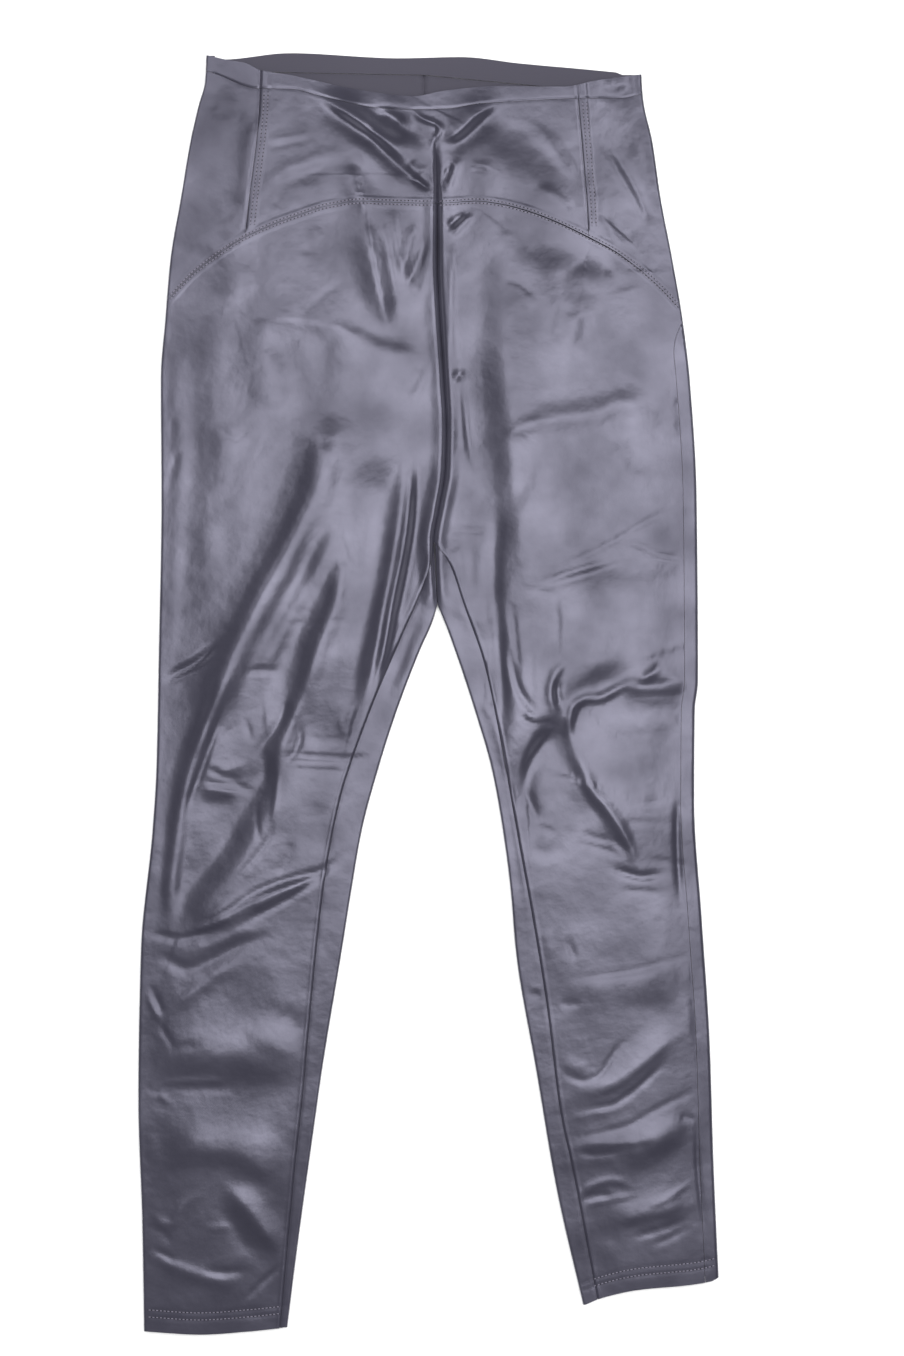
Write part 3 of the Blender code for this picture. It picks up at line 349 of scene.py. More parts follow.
        (1.0, 5, 5, 2, [(523, 800), (520, 780), (524, 758), (535, 738), (548, 726)]),
        (0.7, 4, 25, 0, [
            (502, 600), (504, 650), (505, 700), (504, 745), (507, 790), (513, 830), (519, 870), (524, 912)]),
        (-0.8, 2.5, 2.5, 2, [(511, 600), (514, 630), (517, 655), (520, 680)]),
        (0.5, 3, 3, 2, [(478, 702), (484, 710), (492, 718)]),
        (-0.5, 3, 3, 2, [(492, 704), (493, 710)]),
        (-1.0, 4, 4, 2, [(526, 790), (532, 808), (541, 820)]),
        (-0.4, 2, 2, 2, [(534, 826), (548, 830), (556, 834)]),
        (-0.4, 6, 6, 2, [(530, 846), (548, 852), (565, 842)]),
        (-0.6, 2.2, 2.2, 2, [(579, 832), (598, 838), (613, 840)]),
        (-0.6, 2.5, 2.5, 2, [(578, 843), (600, 848), (622, 856)]),
        (-1.4, 2.8, 2.8, 2, [(608, 867), (624, 872), (642, 876), (666, 873)]),
        (-0.5, 1.9, 1.9, 2, [(618, 890), (645, 891), (664, 893)]),
        (-0.5, 1.9, 1.9, 2, [(644, 859), (662, 861), (694, 865)]),
        (-0.3, 2, 2, 2, [(622, 800), (640, 803), (668, 800)]),
        (-0.3, 2.5, 2.5, 2, [(620, 822), (645, 822), (668, 824)]),
        (-1.2, 3.2, 3.2, 2, [(678, 792), (677, 830), (678, 865), (680, 905)]),
        (-0.6, 2, 2, 2, [(680, 795), (684, 810), (694, 816)]),
        (-0.4, 3, 3, 2, [(678, 712), (682, 724), (694, 726)]),
    ],
    "calfLeft": [
        (-0.96, 5, 5, 2, [(142, 954), (165, 958), (188, 968), (210, 960), (240, 945), (275, 932)]),
        (0.64, 4, 5, 2, [(185, 948), (205, 946), (235, 934), (265, 925)]),
        (0.88, 5, 6, 2, [(163, 1014), (185, 997), (205, 981), (226, 969), (250, 964)]),
        (-0.4, 2.5, 2.5, 2, [(176, 992), (196, 984), (216, 972)]),
        (0.88, 3, 3, 2, [(142, 984), (150, 1000), (161, 1021)]),
        (-0.8, 3, 3, 2, [(148, 982), (157, 1000), (164, 1014)]),
        (-0.48, 2.2, 2.2, 2, [(160, 1022), (167, 1035), (176, 1047)]),
        (0.48, 7, 20, 0, [(290, 1010), (284, 985), (288, 955)]),
        (-0.72, 8, 8, 2, [(278, 1010), (292, 1022), (302, 1036)]),
        (0.64, 8, 7, 2, [(246, 1042), (262, 1038), (285, 1048), (302, 1050)]),
        (-0.4, 3, 3, 2, [(162, 1052), (182, 1046), (206, 1044)]),
        (1.15, 9, 30, 0, [(138, 1070), (180, 1073), (230, 1072), (280, 1074), (318, 1078)]),
        (0.56, 2.2, 2.2, 2, [(160, 1082), (195, 1080), (232, 1079)]),
        (-0.3, 4, 4, 2, [(175, 1087), (210, 1088), (245, 1086)]),
        (-0.64, 3, 3, 2, [(140, 1078), (150, 1090), (165, 1094)]),
        (0.48, 3, 3, 2, [(142, 1092), (158, 1094), (172, 1103)]),
        (0.6, 22, 8, 1, [(138, 1160), (170, 1163), (200, 1161), (231, 1160), (256, 1172), (290, 1190)]),
        (0.64, 8, 20, 0, [(165, 1165), (155, 1145), (145, 1125)]),
        (0.9, 6, 6, 2, [(222, 1180), (236, 1195), (250, 1212), (263, 1229), (275, 1243), (286, 1256)]),
        (-0.8, 7, 7, 2, [(222, 1198), (232, 1220), (246, 1242), (262, 1256)]),
        (0.64, 4, 4, 2, [(144, 1206), (160, 1221), (174, 1222), (182, 1206), (198, 1195)]),
        (0.4, 3, 3, 2, [(204, 1227), (236, 1226)]),
        (-0.72, 3, 3, 2, [(142, 1242), (160, 1251), (182, 1263)]),
        (0.96, 5, 6, 2, [(150, 1248), (170, 1261), (190, 1271), (215, 1277), (242, 1284)]),
        (-0.72, 3.5, 3.5, 2, [(200, 1270), (225, 1271), (250, 1268)]),
        (-0.72, 2.5, 2.5, 2, [(286, 1261), (266, 1278), (250, 1294), (244, 1306)]),
        (-0.32, 3, 3, 2, [(150, 1225), (165, 1233), (172, 1245)]),
    ],
    "calfRight": [
        (-0.49, 3, 3, 2, [(565, 937), (572, 950), (574, 963)]),
        (0.35, 5, 5, 2, [(548, 925), (548, 960)]),
        (-0.56, 2.5, 2.5, 2, [(558, 981), (590, 976), (622, 972), (660, 963), (692, 952)]),
        (-0.35, 3, 3, 2, [(558, 1003), (582, 1003)]),
        (0.35, 5, 20, 0, [(608, 998), (640, 999), (690, 994)]),
        (0.42, 2.2, 2.2, 2, [(526, 986), (542, 988)]),
        (-0.42, 2.2, 2.2, 2, [(525, 993), (542, 994)]),
        (-0.63, 2.5, 2.5, 2, [
            (558, 1066), (571, 1076), (586, 1079), (600, 1073), (610, 1058), (620, 1044), (634, 1034)]),
        (0.42, 5, 5, 2, [(562, 1058), (576, 1066), (590, 1066)]),
        (0.63, 4, 4, 2, [(575, 1096), (602, 1088), (626, 1075), (652, 1054), (680, 1032)]),
        (-0.7, 2.5, 2.5, 2, [(578, 1110), (610, 1104), (628, 1094), (648, 1077), (670, 1056)]),
        (0.28, 2.5, 2.5, 2, [(564, 1120), (590, 1113), (622, 1107)]),
        (-0.49, 2.5, 2.5, 2, [(567, 1136), (600, 1132), (630, 1123), (660, 1106), (706, 1084)]),
        (0.42, 2.2, 2.2, 2, [(571, 1148), (592, 1143), (630, 1141), (656, 1138)]),
        (-0.56, 2.5, 2.5, 2, [(574, 1152), (600, 1153), (622, 1150)]),
        (0.91, 9, 9, 2, [(640, 1150), (660, 1136), (692, 1120)]),
        (0.91, 9, 25, 0, [(622, 1172), (645, 1160), (668, 1146), (692, 1138)]),
        (-0.56, 2.5, 2.5, 2, [(678, 1116), (696, 1118)]),
        (-0.77, 2.5, 2.5, 2, [(697, 1120), (697, 1150), (699, 1182), (703, 1214), (705, 1238)]),
        (0.7, 3, 3.5, 2, [(577, 1197), (590, 1185), (605, 1180), (620, 1180), (634, 1187)]),
        (-0.56, 2.5, 2.5, 2, [(580, 1199), (598, 1194), (614, 1196)]),
        (0.42, 2.5, 2.5, 2, [(580, 1208), (602, 1200), (642, 1192)]),
        (0.42, 2.2, 2.2, 2, [(646, 1207), (668, 1196), (692, 1180)]),
        (0.63, 5, 5, 2, [(604, 1222), (632, 1216), (662, 1210), (696, 1203)]),
        (-0.63, 3.5, 3.5, 2, [(628, 1236), (658, 1229), (692, 1217)]),
        (-0.49, 3, 3, 2, [(648, 1245), (670, 1236), (692, 1223)]),
        (-0.28, 6, 6, 2, [(590, 1232), (620, 1240)]),
        (0.49, 4, 20, 0, [(694, 1050), (692, 1010), (690, 985)]),
    ],
}

# the photo's size, its scale, the pixel that lies at the origin, and a lens of 70 mm straight above
photo = {"pixels": (904, 1356), "mmPerPixel": 0.78, "zeroAt": (428.5, 693.5), "lens": 70.0, "sensor": 36.0}


def fromPhoto(points):
    points = np.array(points, float) - photo["zeroAt"]
    return points * (photo["mmPerPixel"], -photo["mmPerPixel"])


def tableValue(table, at):  # smooth curve through the rows, with no overshoot
    rows = np.array(sorted(table), float)
    key, value = rows[:, 0], rows[:, 1]
    step = np.diff(key)
    slope = np.diff(value) / step
    bend = np.concatenate([slope[:1], np.zeros(len(key) - 2), slope[-1:]])
    for i in range(1, len(key) - 1):
        before, after = slope[i - 1], slope[i]
        if before * after > 0:
            weightA = 2 * step[i] + step[i - 1]
            weightB = step[i] + 2 * step[i - 1]
            bend[i] = (weightA + weightB) / (weightA / before + weightB / after)
    at = np.asarray(at, float)
    inside = np.clip(at, key[0], key[-1])
    i = np.clip(np.searchsorted(key, inside) - 1, 0, len(step) - 1)
    t = (inside - key[i]) / step[i]
    curve = (
        (1 + 2 * t) * (1 - t) ** 2 * value[i]
        + t * (1 - t) ** 2 * step[i] * bend[i]
        + t**2 * (3 - 2 * t) * value[i + 1]
        - t**2 * (1 - t) * step[i] * bend[i + 1]
    )
    return curve + (at - inside) * np.where(at < key[0], bend[0], bend[-1])


def edgeX(name, y):
    return tableValue(edges[name], y)


def lineY(name, x):
    return tableValue(lines[name], x)


def easeIn(distance, width):
    t = np.clip(distance / width, 0, 1)
    return t * t * (3 - 2 * t)


def bell(distance, width):
    return np.exp(-((distance / width) ** 2))


def foldPath(points):
    points = np.array(points, float)
    padded = np.vstack([2 * points[0] - points[1], points, 2 * points[-1] - points[-2]])
    path = []
    for a, b, c, d in zip(padded, padded[1:], padded[2:], padded[3:]):
        for t in np.arange(foldFade["pathSteps"]) / foldFade["pathSteps"]:
            bend = (2 * a - 5 * b + 4 * c - d) * t**2 + (3 * b - a - 3 * c + d) * t**3
            path.append(b + ((c - a) * t + bend) / 2)
    return np.array(path + [points[-1]])


def foldHeight(fold, x, y):
    height, left, right, shape, points = fold
    path = foldPath(points)
    run = np.concatenate([[0], np.cumsum(np.linalg.norm(np.diff(path, axis=0), axis=1))])
    reach = foldFade["reach"] * max(left, right) if shape else foldFade["stepReach"] * right
    low, high = path.min(axis=0) - reach, path.max(axis=0) + reach
    near = (x > low[0]) & (x < high[0]) & (y > low[1]) & (y < high[1])
    result = np.zeros(np.shape(x))
    px, py = x[near], y[near]
    if not len(px):
        return result
    nearest = np.full(len(px), 1e9)
    across = np.zeros(len(px))
    along = np.zeros(len(px))
    for (ax, ay), (bx, by), start in zip(path, path[1:], run):
        dx, dy = bx - ax, by - ay
        length = np.hypot(dx, dy)
        t = np.clip(((px - ax) * dx + (py - ay) * dy) / length**2, 0, 1)
        distance = np.hypot(px - ax - t * dx, py - ay - t * dy)
        side = np.sign(dx * (py - ay) - dy * (px - ax))
        closer = distance < nearest
        nearest = np.where(closer, distance, nearest)
        across = np.where(closer, distance * side, across)
        along = np.where(closer, start + t * length, along)
    taper = max(foldFade["taper"], foldFade["taperWidths"] * left)
    taper = min(taper, run[-1] / foldFade["tapersInPath"])
    fade = easeIn(along, taper) * easeIn(run[-1] - along, taper)
    fade = foldFade["endShare"] + (1 - foldFade["endShare"]) * fade
    if shape:
        profile = np.exp(-np.abs(across / np.where(across > 0, left, right)) ** shape)
    else:
        profile = np.tanh(across / left) * np.exp(-((across / right) ** 2))
    result[near] = height * fade * profile
    return result


# Relief beside the seams, in mm: a strip raised by the allowance under it, and the ditch a seam pulls in.
# A bend is the width over which the cloth comes up to a strip or a step.
seamLook = {
    "princessStrip": 8.0, "princessRaise": 0.4, "princessDitch": 0.35,
    "princessFoot": 0.6, "princessBend": 1.2, "princessShift": 0.4,  # strip and ditch start beside the line
    "yokeStrip": 5.0, "yokeRaise": 0.18, "yokeClear": 3.0,  # princess relief starts this far above it
    "bandStep": 0.3, "bandDitch": 0.1, "ditchWidth": 1.2, "stripBend": 2.0,
    "inseamTop": 110.0, "inseamRidge": 0.35, "inseamWidth": 4.0, "ridgeBend": 1.5, "ridgeFall": 2.5,
    "inseamDitch": 0.3, "inseamDitchWidth": 1.4,
    "hemRows": (11.5, 17.0), "hemDitch": 0.2, "hemDitchWidth": 1.5,
}


def slopeShare(table, at):  # turns a distance along an axis into one square to the line
    rate = (tableValue(table, at + 1) - tableValue(table, at - 1)) / 2
    return 1 / np.sqrt(1 + rate**2)


def seamRelief(x, y):
    look = seamLook
    yokeAt = lineY("yoke_seam", x)
    acrossYoke = (y - yokeAt) * slopeShare(lines["yoke_seam"], x)
    relief = look["yokeRaise"] * easeIn(look["yokeStrip"] - np.abs(acrossYoke), look["stripBend"])
    inYoke = easeIn(acrossYoke - look["yokeClear"], look["yokeClear"])
    onLeg = y < look["inseamTop"]
    for side in ("left", "right"):
        across = x - edgeX("princess_" + side, y)
        strip = easeIn(across + look["princessFoot"], look["princessBend"])
        strip *= easeIn(look["princessStrip"] - across, look["stripBend"])
        ditch = bell(across + look["princessShift"], look["ditchWidth"])
        relief += inYoke * (look["princessRaise"] * strip - look["princessDitch"] * ditch)
        inseam = (x - edgeX("inseam_" + side, y)) * (1 if side == "left" else -1)
        ridge = easeIn(-inseam, look["ridgeBend"]) * easeIn(look["inseamWidth"] + inseam, look["ridgeFall"])
        ditch = bell(inseam, look["inseamDitchWidth"])
        relief += onLeg * (look["inseamRidge"] * ridge - look["inseamDitch"] * ditch)
        aboveHem = y - lineY("hem_" + side, x)
        onSide = x < 0 if side == "left" else x > 0
        for row in look["hemRows"]:
            relief -= onSide * look["hemDitch"] * bell(aboveHem - row, look["hemDitchWidth"])
    aboveBand = y - lineY("front_band_seam", x)
    relief += look["bandStep"] * easeIn(aboveBand, look["stripBend"])
    relief -= look["bandDitch"] * bell(aboveBand, look["ditchWidth"])
    return relief


ripples = {
    "height": 0.05, "lengths": (71.0, 53.0, 37.0), "turns": (0.4, 1.9, 2.8),  # directions in radians
    "sway": 9.0, "swayLength": 0.83,  # to each side, and over this share of a wave's length
    "shift": 2.1,  # so that the waves don't start together
}


def ripple(x, y):  # faint unevenness of cloth that has been handled
    total = np.zeros(np.shape(x))
    for i, (length, turn) in enumerate(zip(ripples["lengths"], ripples["turns"])):
        along = x * math.cos(turn) + y * math.sin(turn)
        beside = x * math.sin(turn) - y * math.cos(turn)
        sway = ripples["sway"] * np.sin(beside / (length * ripples["swayLength"]) + i)
        total += np.sin((along + sway) * 2 * math.pi / length + ripples["shift"] * i)
    return ripples["height"] * total


# Where one part of the top layer's height gives way to the next, in mm: the start and width of each change.
blend = {
    "edgeStart": 1.1,  # roll radii from the edge to where the top layer starts to rise
    "hips": (300, 100), "legs": (80, 40),  # upwards and downwards from these y
    "freeYoke": (385, 25),  # above this the folds run across the centre line
    "foldEdge": 14, "foldGroove": (2, 12),  # folds die away at the outer edges and at the groove
    "seamEdge": 6,  # and seam relief at the outer edges
    "hem": (-505, 30),
}


def topHeight(x, y):  # height of the front layer's upper face
    x, y = np.asarray(x, float), np.asarray(y, float)
    crotch = cloth["crotchY"]
    centre = edgeX("centre", np.maximum(y, crotch))
    leftInner = np.where(y < crotch, edgeX("inner_left", y), centre)
    rightInner = np.where(y < crotch, edgeX("inner_right", y), centre)
    onLeft = x < (leftInner + rightInner) / 2
    outer = np.where(onLeft, x - edgeX("outer_left", y), edgeX("outer_right", y) - x)
    inner = np.where(onLeft, leftInner - x, x - rightInner)
    start = blend["edgeStart"] * cloth["edgeRadius"]
    hipShare = easeIn(y - blend["hips"][0], blend["hips"][1])
    rise = easeIn(outer - start, cloth["riseOuter"] + (cloth["riseHips"] - cloth["riseOuter"]) * hipShare)
    legShare = easeIn(blend["legs"][0] - y, blend["legs"][1])
    beside = np.where(onLeft, *cloth["riseGroove"])
    riseWidth = beside + (cloth["riseOuter"] - beside) * legShare
    nearGroove = np.clip((inner - start * legShare) / riseWidth, 0, 1)
    riseIn = easeIn(nearGroove, 1) * legShare + (1 - (1 - nearGroove) ** 2) * (1 - legShare)
    edge = 2 * cloth["edgeRadius"]
    grooveAt = tableValue(groove, np.maximum(y, groove[-1][0]))
    base = edge * (1 - rise) + rise * (grooveAt * (1 - riseIn) + tableValue(loft, y) * riseIn)
    total = ripple(x, y)
    for fold in folds.values():
        total = total + foldHeight(fold, x, y)
    for region in creases.values():
        for *form, points in region:
            total = total + foldHeight((*form, fromPhoto(points)), x, y)
    freeCentre = easeIn(y - blend["freeYoke"][0], blend["freeYoke"][1])
    besideGroove = easeIn(inner - blend["foldGroove"][0], blend["foldGroove"][1])
    mask = easeIn(outer - start, blend["foldEdge"]) * (freeCentre + (1 - freeCentre) * besideGroove)
    hemShare = easeIn(y - blend["hem"][0], blend["hem"][1])
    relief = seamRelief(x, y) * easeIn(outer - start, blend["seamEdge"])
    lowest, soft = cloth["lowestTop"], cloth["softBottom"]
    return lowest + soft * np.logaddexp(0, (base + total * mask * hemShare - lowest) / soft) + relief


def onTop(plan):  # lays plan positions on the front layer
    return np.concatenate([plan, topHeight(plan[..., 0], plan[..., 1])[..., None]], axis=-1)


def onUnder(plan):  # and on the floor
    return np.concatenate([plan, np.zeros(plan.shape[:-1] + (1,))], axis=-1)


def wrapInset(girth):  # how far in from the folded edge a point lies; girth is its arc length from the edge
    radius = cloth["edgeRadius"]
    angle = np.clip(girth / radius, -np.pi / 2, np.pi / 2)
    turn = np.maximum(np.cos(angle), 0) ** cloth["edgePress"]
    return radius * (1 - turn) + np.maximum(np.abs(girth) - radius * np.pi / 2, 0)


def roundEdge(edge, outward, girth):  # cloth rolled round a folded edge
    radius = cloth["edgeRadius"]
    angle = np.clip(girth / radius, -np.pi / 2, np.pi / 2)
    plan = edge - outward * wrapInset(girth)[..., None]
    turn = np.sign(angle) * np.abs(np.sin(angle)) ** cloth["edgePress"]
    height = np.where(girth > radius * np.pi / 2, topHeight(plan[..., 0], plan[..., 1]), radius * (1 + turn))
    return np.concatenate([plan, height[..., None]], axis=-1)


def patch(upper, lower, outer, inner, t, s):  # fills a panel between its four edges
    t, s = t[:, None, None], s[None, :, None]
    plan = upper[None] * (1 - t) + lower[None] * t
    return plan + (outer[:, None] - plan[:, :1]) * (1 - s) + (inner[:, None] - plan[:, -1:]) * s


def joined(*blocks):  # side by side; each later block's first column repeats the one before
    return np.concatenate([blocks[0]] + [block[:, 1:] for block in blocks[1:]], axis=1)


grid = {  # cells in each stretch of the panels
    "wrap": 22, "side": 30, "centre": 66, "band": 14, "yoke": 90, "hip": 118, "leg": 250,
    "strip": 12, "roll": 16, "under": 30, "backWrap": 24, "underRows": 60,
}
crowding = {  # their size at the start and end of a stretch, 1 being the average
    "band": (0.5, 0.5), "yoke": (0.7, 0.45), "hip": (0.4, 1.1), "leg": (0.9, 0.7),
    "side": (1.0, 0.45), "centre": (0.5, 0.6),
}


def spread(stretch):  # 0 to 1 in the stretch's number of cells
    u = np.linspace(0, 1, grid[stretch] + 1)
    start, end = crowding[stretch]
    return (u**3 - 2 * u**2 + u) * start + (3 * u**2 - 2 * u**3) + (u**3 - u**2) * end


class Half:  # one leg with its half of the hips; sign is -1 on the left and 1 on the right
    def __init__(self, name, sign):
        self.name, self.sign = name, sign
        self.outward = np.array([float(sign), 0.0])
        self.start = cloth["edgeRadius"] * np.pi / 2 if sign < 0 else cloth["topStartRight"]
        band, yoke = outerY["band"][name], outerY["yoke"][name]
        self.tBand, self.tYoke, self.tHip = spread("band"), spread("yoke"), spread("hip")
        self.q, self.sSide, self.sCentre = spread("leg"), spread("side"), spread("centre")
        share = grid["side"] / (grid["side"] + grid["centre"])
        self.sAll = np.concatenate([self.sSide * share, share + (1 - share) * self.sCentre[1:]])
        self.bandY = band[0] + (band[1] - band[0]) * self.tBand
        self.yokeY = band[1] + (yoke - band[1]) * self.tYoke
        self.hipY = yoke + (cloth["crotchOuterY"] - yoke) * self.tHip
        self.legY = cloth["crotchOuterY"] + (outerY["hem"][name] - cloth["crotchOuterY"]) * self.q
        self.crossings = [
            (band[0], "front_top"), (band[1], "front_band_seam"), (yoke, "yoke_seam"),
            (cloth["crotchOuterY"], None), (outerY["hem"][name], "hem_" + name)]

    def edgeAt(self, y):
        return np.stack([edgeX("outer_" + self.name, y), y], axis=-1)

    def climb(self, level, line, girth):  # how far a line that meets the edge at a level climbs inwards
        inset = wrapInset(np.maximum(girth, 0))
        edge = edgeX("outer_" + self.name, level)
        y = level + 0 * inset
        for _ in range(6):  # settles well within a hundredth of a millimetre
            y = level + lineY(line, edgeX("outer_" + self.name, y) - self.sign * inset) - lineY(line, edge)
        return y - level

    def rowEdge(self, y, girth):  # rows of the turned cloth follow the seams that cross it
        y = y[:, None] + 0 * girth
        moved = y.copy()
        levels = [-level for level, line in self.crossings]
        for i, (level, line) in enumerate(self.crossings):
            if line:
                moved += np.interp(-y, levels, np.eye(len(levels))[i]) * self.climb(level, line, girth)
        return self.edgeAt(moved)

    def topStart(self, y):  # where the front leaves the roll
        girth = np.full((len(y), 1), self.start)
        return (self.rowEdge(y, girth) - self.outward * wrapInset(girth)[..., None])[:, 0]

    def sideSeam(self, y):
        return np.full(len(y), cloth["leftSideSeam"]) if self.sign < 0 else tableValue(rightSideSeam, y)

    def frontWrap(self, y):
        seam = self.sideSeam(y)[:, None]
        girth = seam + (self.start - seam) * np.linspace(0, 1, grid["wrap"] + 1)[None]
        return roundEdge(self.rowEdge(y, girth), self.outward, girth)

    def backWrap(self, y):
        seam = self.sideSeam(y)[:, None]
        girth = cloth["backTurn"] + (seam - cloth["backTurn"]) * np.linspace(0, 1, grid["backWrap"] + 1)[None]
        return roundEdge(self.rowEdge(y, girth), self.outward, girth)

    def across(self, line, outer):  # along a seam, from the turned edge to the centre
        centreX = edgeX("centre", lineY(line, frontCentreX))
        princess = edgeX("princess_" + self.name, lineY(line, princessX[self.name]))
        startX = self.topStart(np.array([float(outer)]))[0, 0]
        side = startX + (princess - startX) * self.sSide
        middle = princess + (centreX - princess) * self.sCentre[1:]
        x = np.concatenate([side, middle])
        return np.stack([x, lineY(line, x)], axis=-1)

    def yokeRows(self, upperLine, lowerLine, y, t):  # side and middle, which meet at the princess seam
        upper, lower = self.across(upperLine, y[0]), self.across(lowerLine, y[-1])
        n = grid["side"]
        seamY = upper[n, 1] + (lower[n, 1] - upper[n, 1]) * t
        princess = np.stack([edgeX("princess_" + self.name, seamY), seamY], axis=-1)
        centreY = upper[-1, 1] + (lower[-1, 1] - upper[-1, 1]) * t
        centre = np.stack([edgeX("centre", centreY), centreY], axis=-1)
        side = patch(upper[: n + 1], lower[: n + 1], self.topStart(y), princess, t, self.sSide)
        middle = patch(upper[n:], lower[n:], princess, centre, t, self.sCentre)
        return side, middle

    def innerY(self):
        return cloth["crotchY"] + (outerY["hemInner"][self.name] - cloth["crotchY"]) * self.q

    def inseam(self):
        lead = cloth["seamLead"] * (1 - self.q) ** cloth["leadFade"]
        y = self.innerY() + lead + (outerY["hemSeam"][self.name] - outerY["hemInner"][self.name]) * self.q
        return np.stack([edgeX("inseam_" + self.name, y), y], axis=-1)

    def innerEdge(self):
        y = self.innerY()
        return np.stack([edgeX("inner_" + self.name, y), y], axis=-1)

    def innerOutward(self):  # the way out from the inner edge
        y = self.innerY()
        slope = (edgeX("inner_" + self.name, y + 1) - edgeX("inner_" + self.name, y - 1)) / 2
        normal = np.stack([-self.sign * np.ones_like(y), self.sign * slope], axis=-1)
        share = np.exp(-((self.q / cloth["crotchTurn"]) ** 2))[:, None]
        turned = normal * (1 - share) + np.array([0.0, -1.0]) * share
        return turned / np.linalg.norm(turned, axis=-1, keepdims=True)

    def frontLegRows(self):
        hipOuter, legOuter = self.topStart(self.hipY), self.topStart(self.legY)
        upper = self.across("yoke_seam", self.hipY[0])
        inseam = self.inseam()
        s = self.sAll[:, None]
        crotch = hipOuter[-1] * (1 - s) + inseam[0] * s
        centreY = upper[-1, 1] + (inseam[0, 1] - upper[-1, 1]) * self.tHip
        centre = np.stack([edgeX("centre", centreY), centreY], axis=-1)
        hip = patch(upper, crotch, hipOuter, centre, self.tHip, self.sAll)
        hemX = legOuter[-1, 0] + (inseam[-1, 0] - legOuter[-1, 0]) * self.sAll
        hem = np.stack([hemX, lineY("hem_" + self.name, hemX)], axis=-1)
        leg = patch(crotch, hem, legOuter, inseam, self.q, self.sAll)
        return np.concatenate([hip, leg[1:]], axis=0)


def shiftSeam(points, line, within, corners):  # notes, for each point of a seam, the way into the panel
    here = np.array([points[cell] for cell in line])
    inside = np.array([points[cell] for cell in within])
    along = np.gradient(here, axis=0)
    along /= np.linalg.norm(along, axis=1, keepdims=True)
    inward = inside - here
    inward -= (inward * along).sum(axis=1, keepdims=True) * along
    inward /= np.linalg.norm(inward, axis=1, keepdims=True)
    for cell, direction in zip(line, inward):
        corners.setdefault(cell, []).append(direction)


def openSeams(points, seams):  # moves the seams' points half a gap into the panel
    corners = {}
    for line, within in seams:
        shiftSeam(points, line, within, corners)
    moved = points.copy()
    half = cloth["seamGap"] / 2
    for cell, ways in corners.items():
        way = ways[0] if len(ways) == 1 else (ways[0] + ways[1]) / (1 + ways[0] @ ways[1])
        moved[cell] += way * half
    return moved


def rowSeam(row, towards, columns):
    return [(row, i) for i in columns], [(row + towards, i) for i in columns]


def columnSeam(column, towards, rows):
    return [(j, column) for j in rows], [(j, column + towards) for j in rows]


def gridMesh(points):  # a grid with its corners moved to these points, in millimetres
    rows, columns = points.shape[:2]
    mesh = bmesh.new()
    bmesh.ops.create_grid(mesh, x_segments=columns - 1, y_segments=rows - 1, size=1)
    mesh.verts.ensure_lookup_table()
    for vert, place in zip(mesh.verts, points.reshape(-1, 3) * mm):
        vert.co = place
    mesh.verts.index_update()
    return mesh


def panel(
        name, node, points, seams, flip, wall=cloth["wall"], slot="coated_cloth", used=None, foldColumn=None):
    rows, columns = points.shape[:2]
    points = openSeams(points, seams)
    mesh = gridMesh(points)
    for edge in mesh.edges:  # crisp at cut edges, so that no shading runs across a seam, and at a hard fold
        onFold = {vert.index % columns for vert in edge.verts} == {foldColumn}
        edge.smooth = not (edge.is_boundary or onFold)
    if used is not None:
        unused = [mesh.verts[i] for i in np.flatnonzero(~used.reshape(-1))]
        bmesh.ops.delete(mesh, geom=unused, context="VERTS")
    if flip:
        bmesh.ops.reverse_faces(mesh, faces=mesh.faces)
    data = bpy.data.meshes.new(name)
    mesh.to_mesh(data)
    mesh.free()
    data.shade_smooth()
    piece = bpy.data.objects.new(name, data)
    bpy.context.scene.collection.objects.link(piece)
    solid = piece.modifiers.new("wall", "SOLIDIFY")
    solid.thickness = wall * mm
    solid.offset = -1
    solid.use_rim = True
    solid.material_offset = 1  # the knit backing on the inside, the coating round the cut edge
    solid.material_offset_rim = 0
    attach(piece, "root")
    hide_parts(node)
    return piece


def makeFrontLeg(half):
    y = np.concatenate([half.hipY, half.legY[1:]])
    points = joined(half.frontWrap(y), onTop(half.frontLegRows()))
    rows, columns = points.shape[:2]
    seams = [
        rowSeam(0, 1, range(columns)), columnSeam(0, 1, range(rows)),
        columnSeam(columns - 1, -1, range(rows)),
    ]
    return panel("frontLeg" + half.name.title(), "front_leg_" + half.name, points, seams, half.sign < 0)


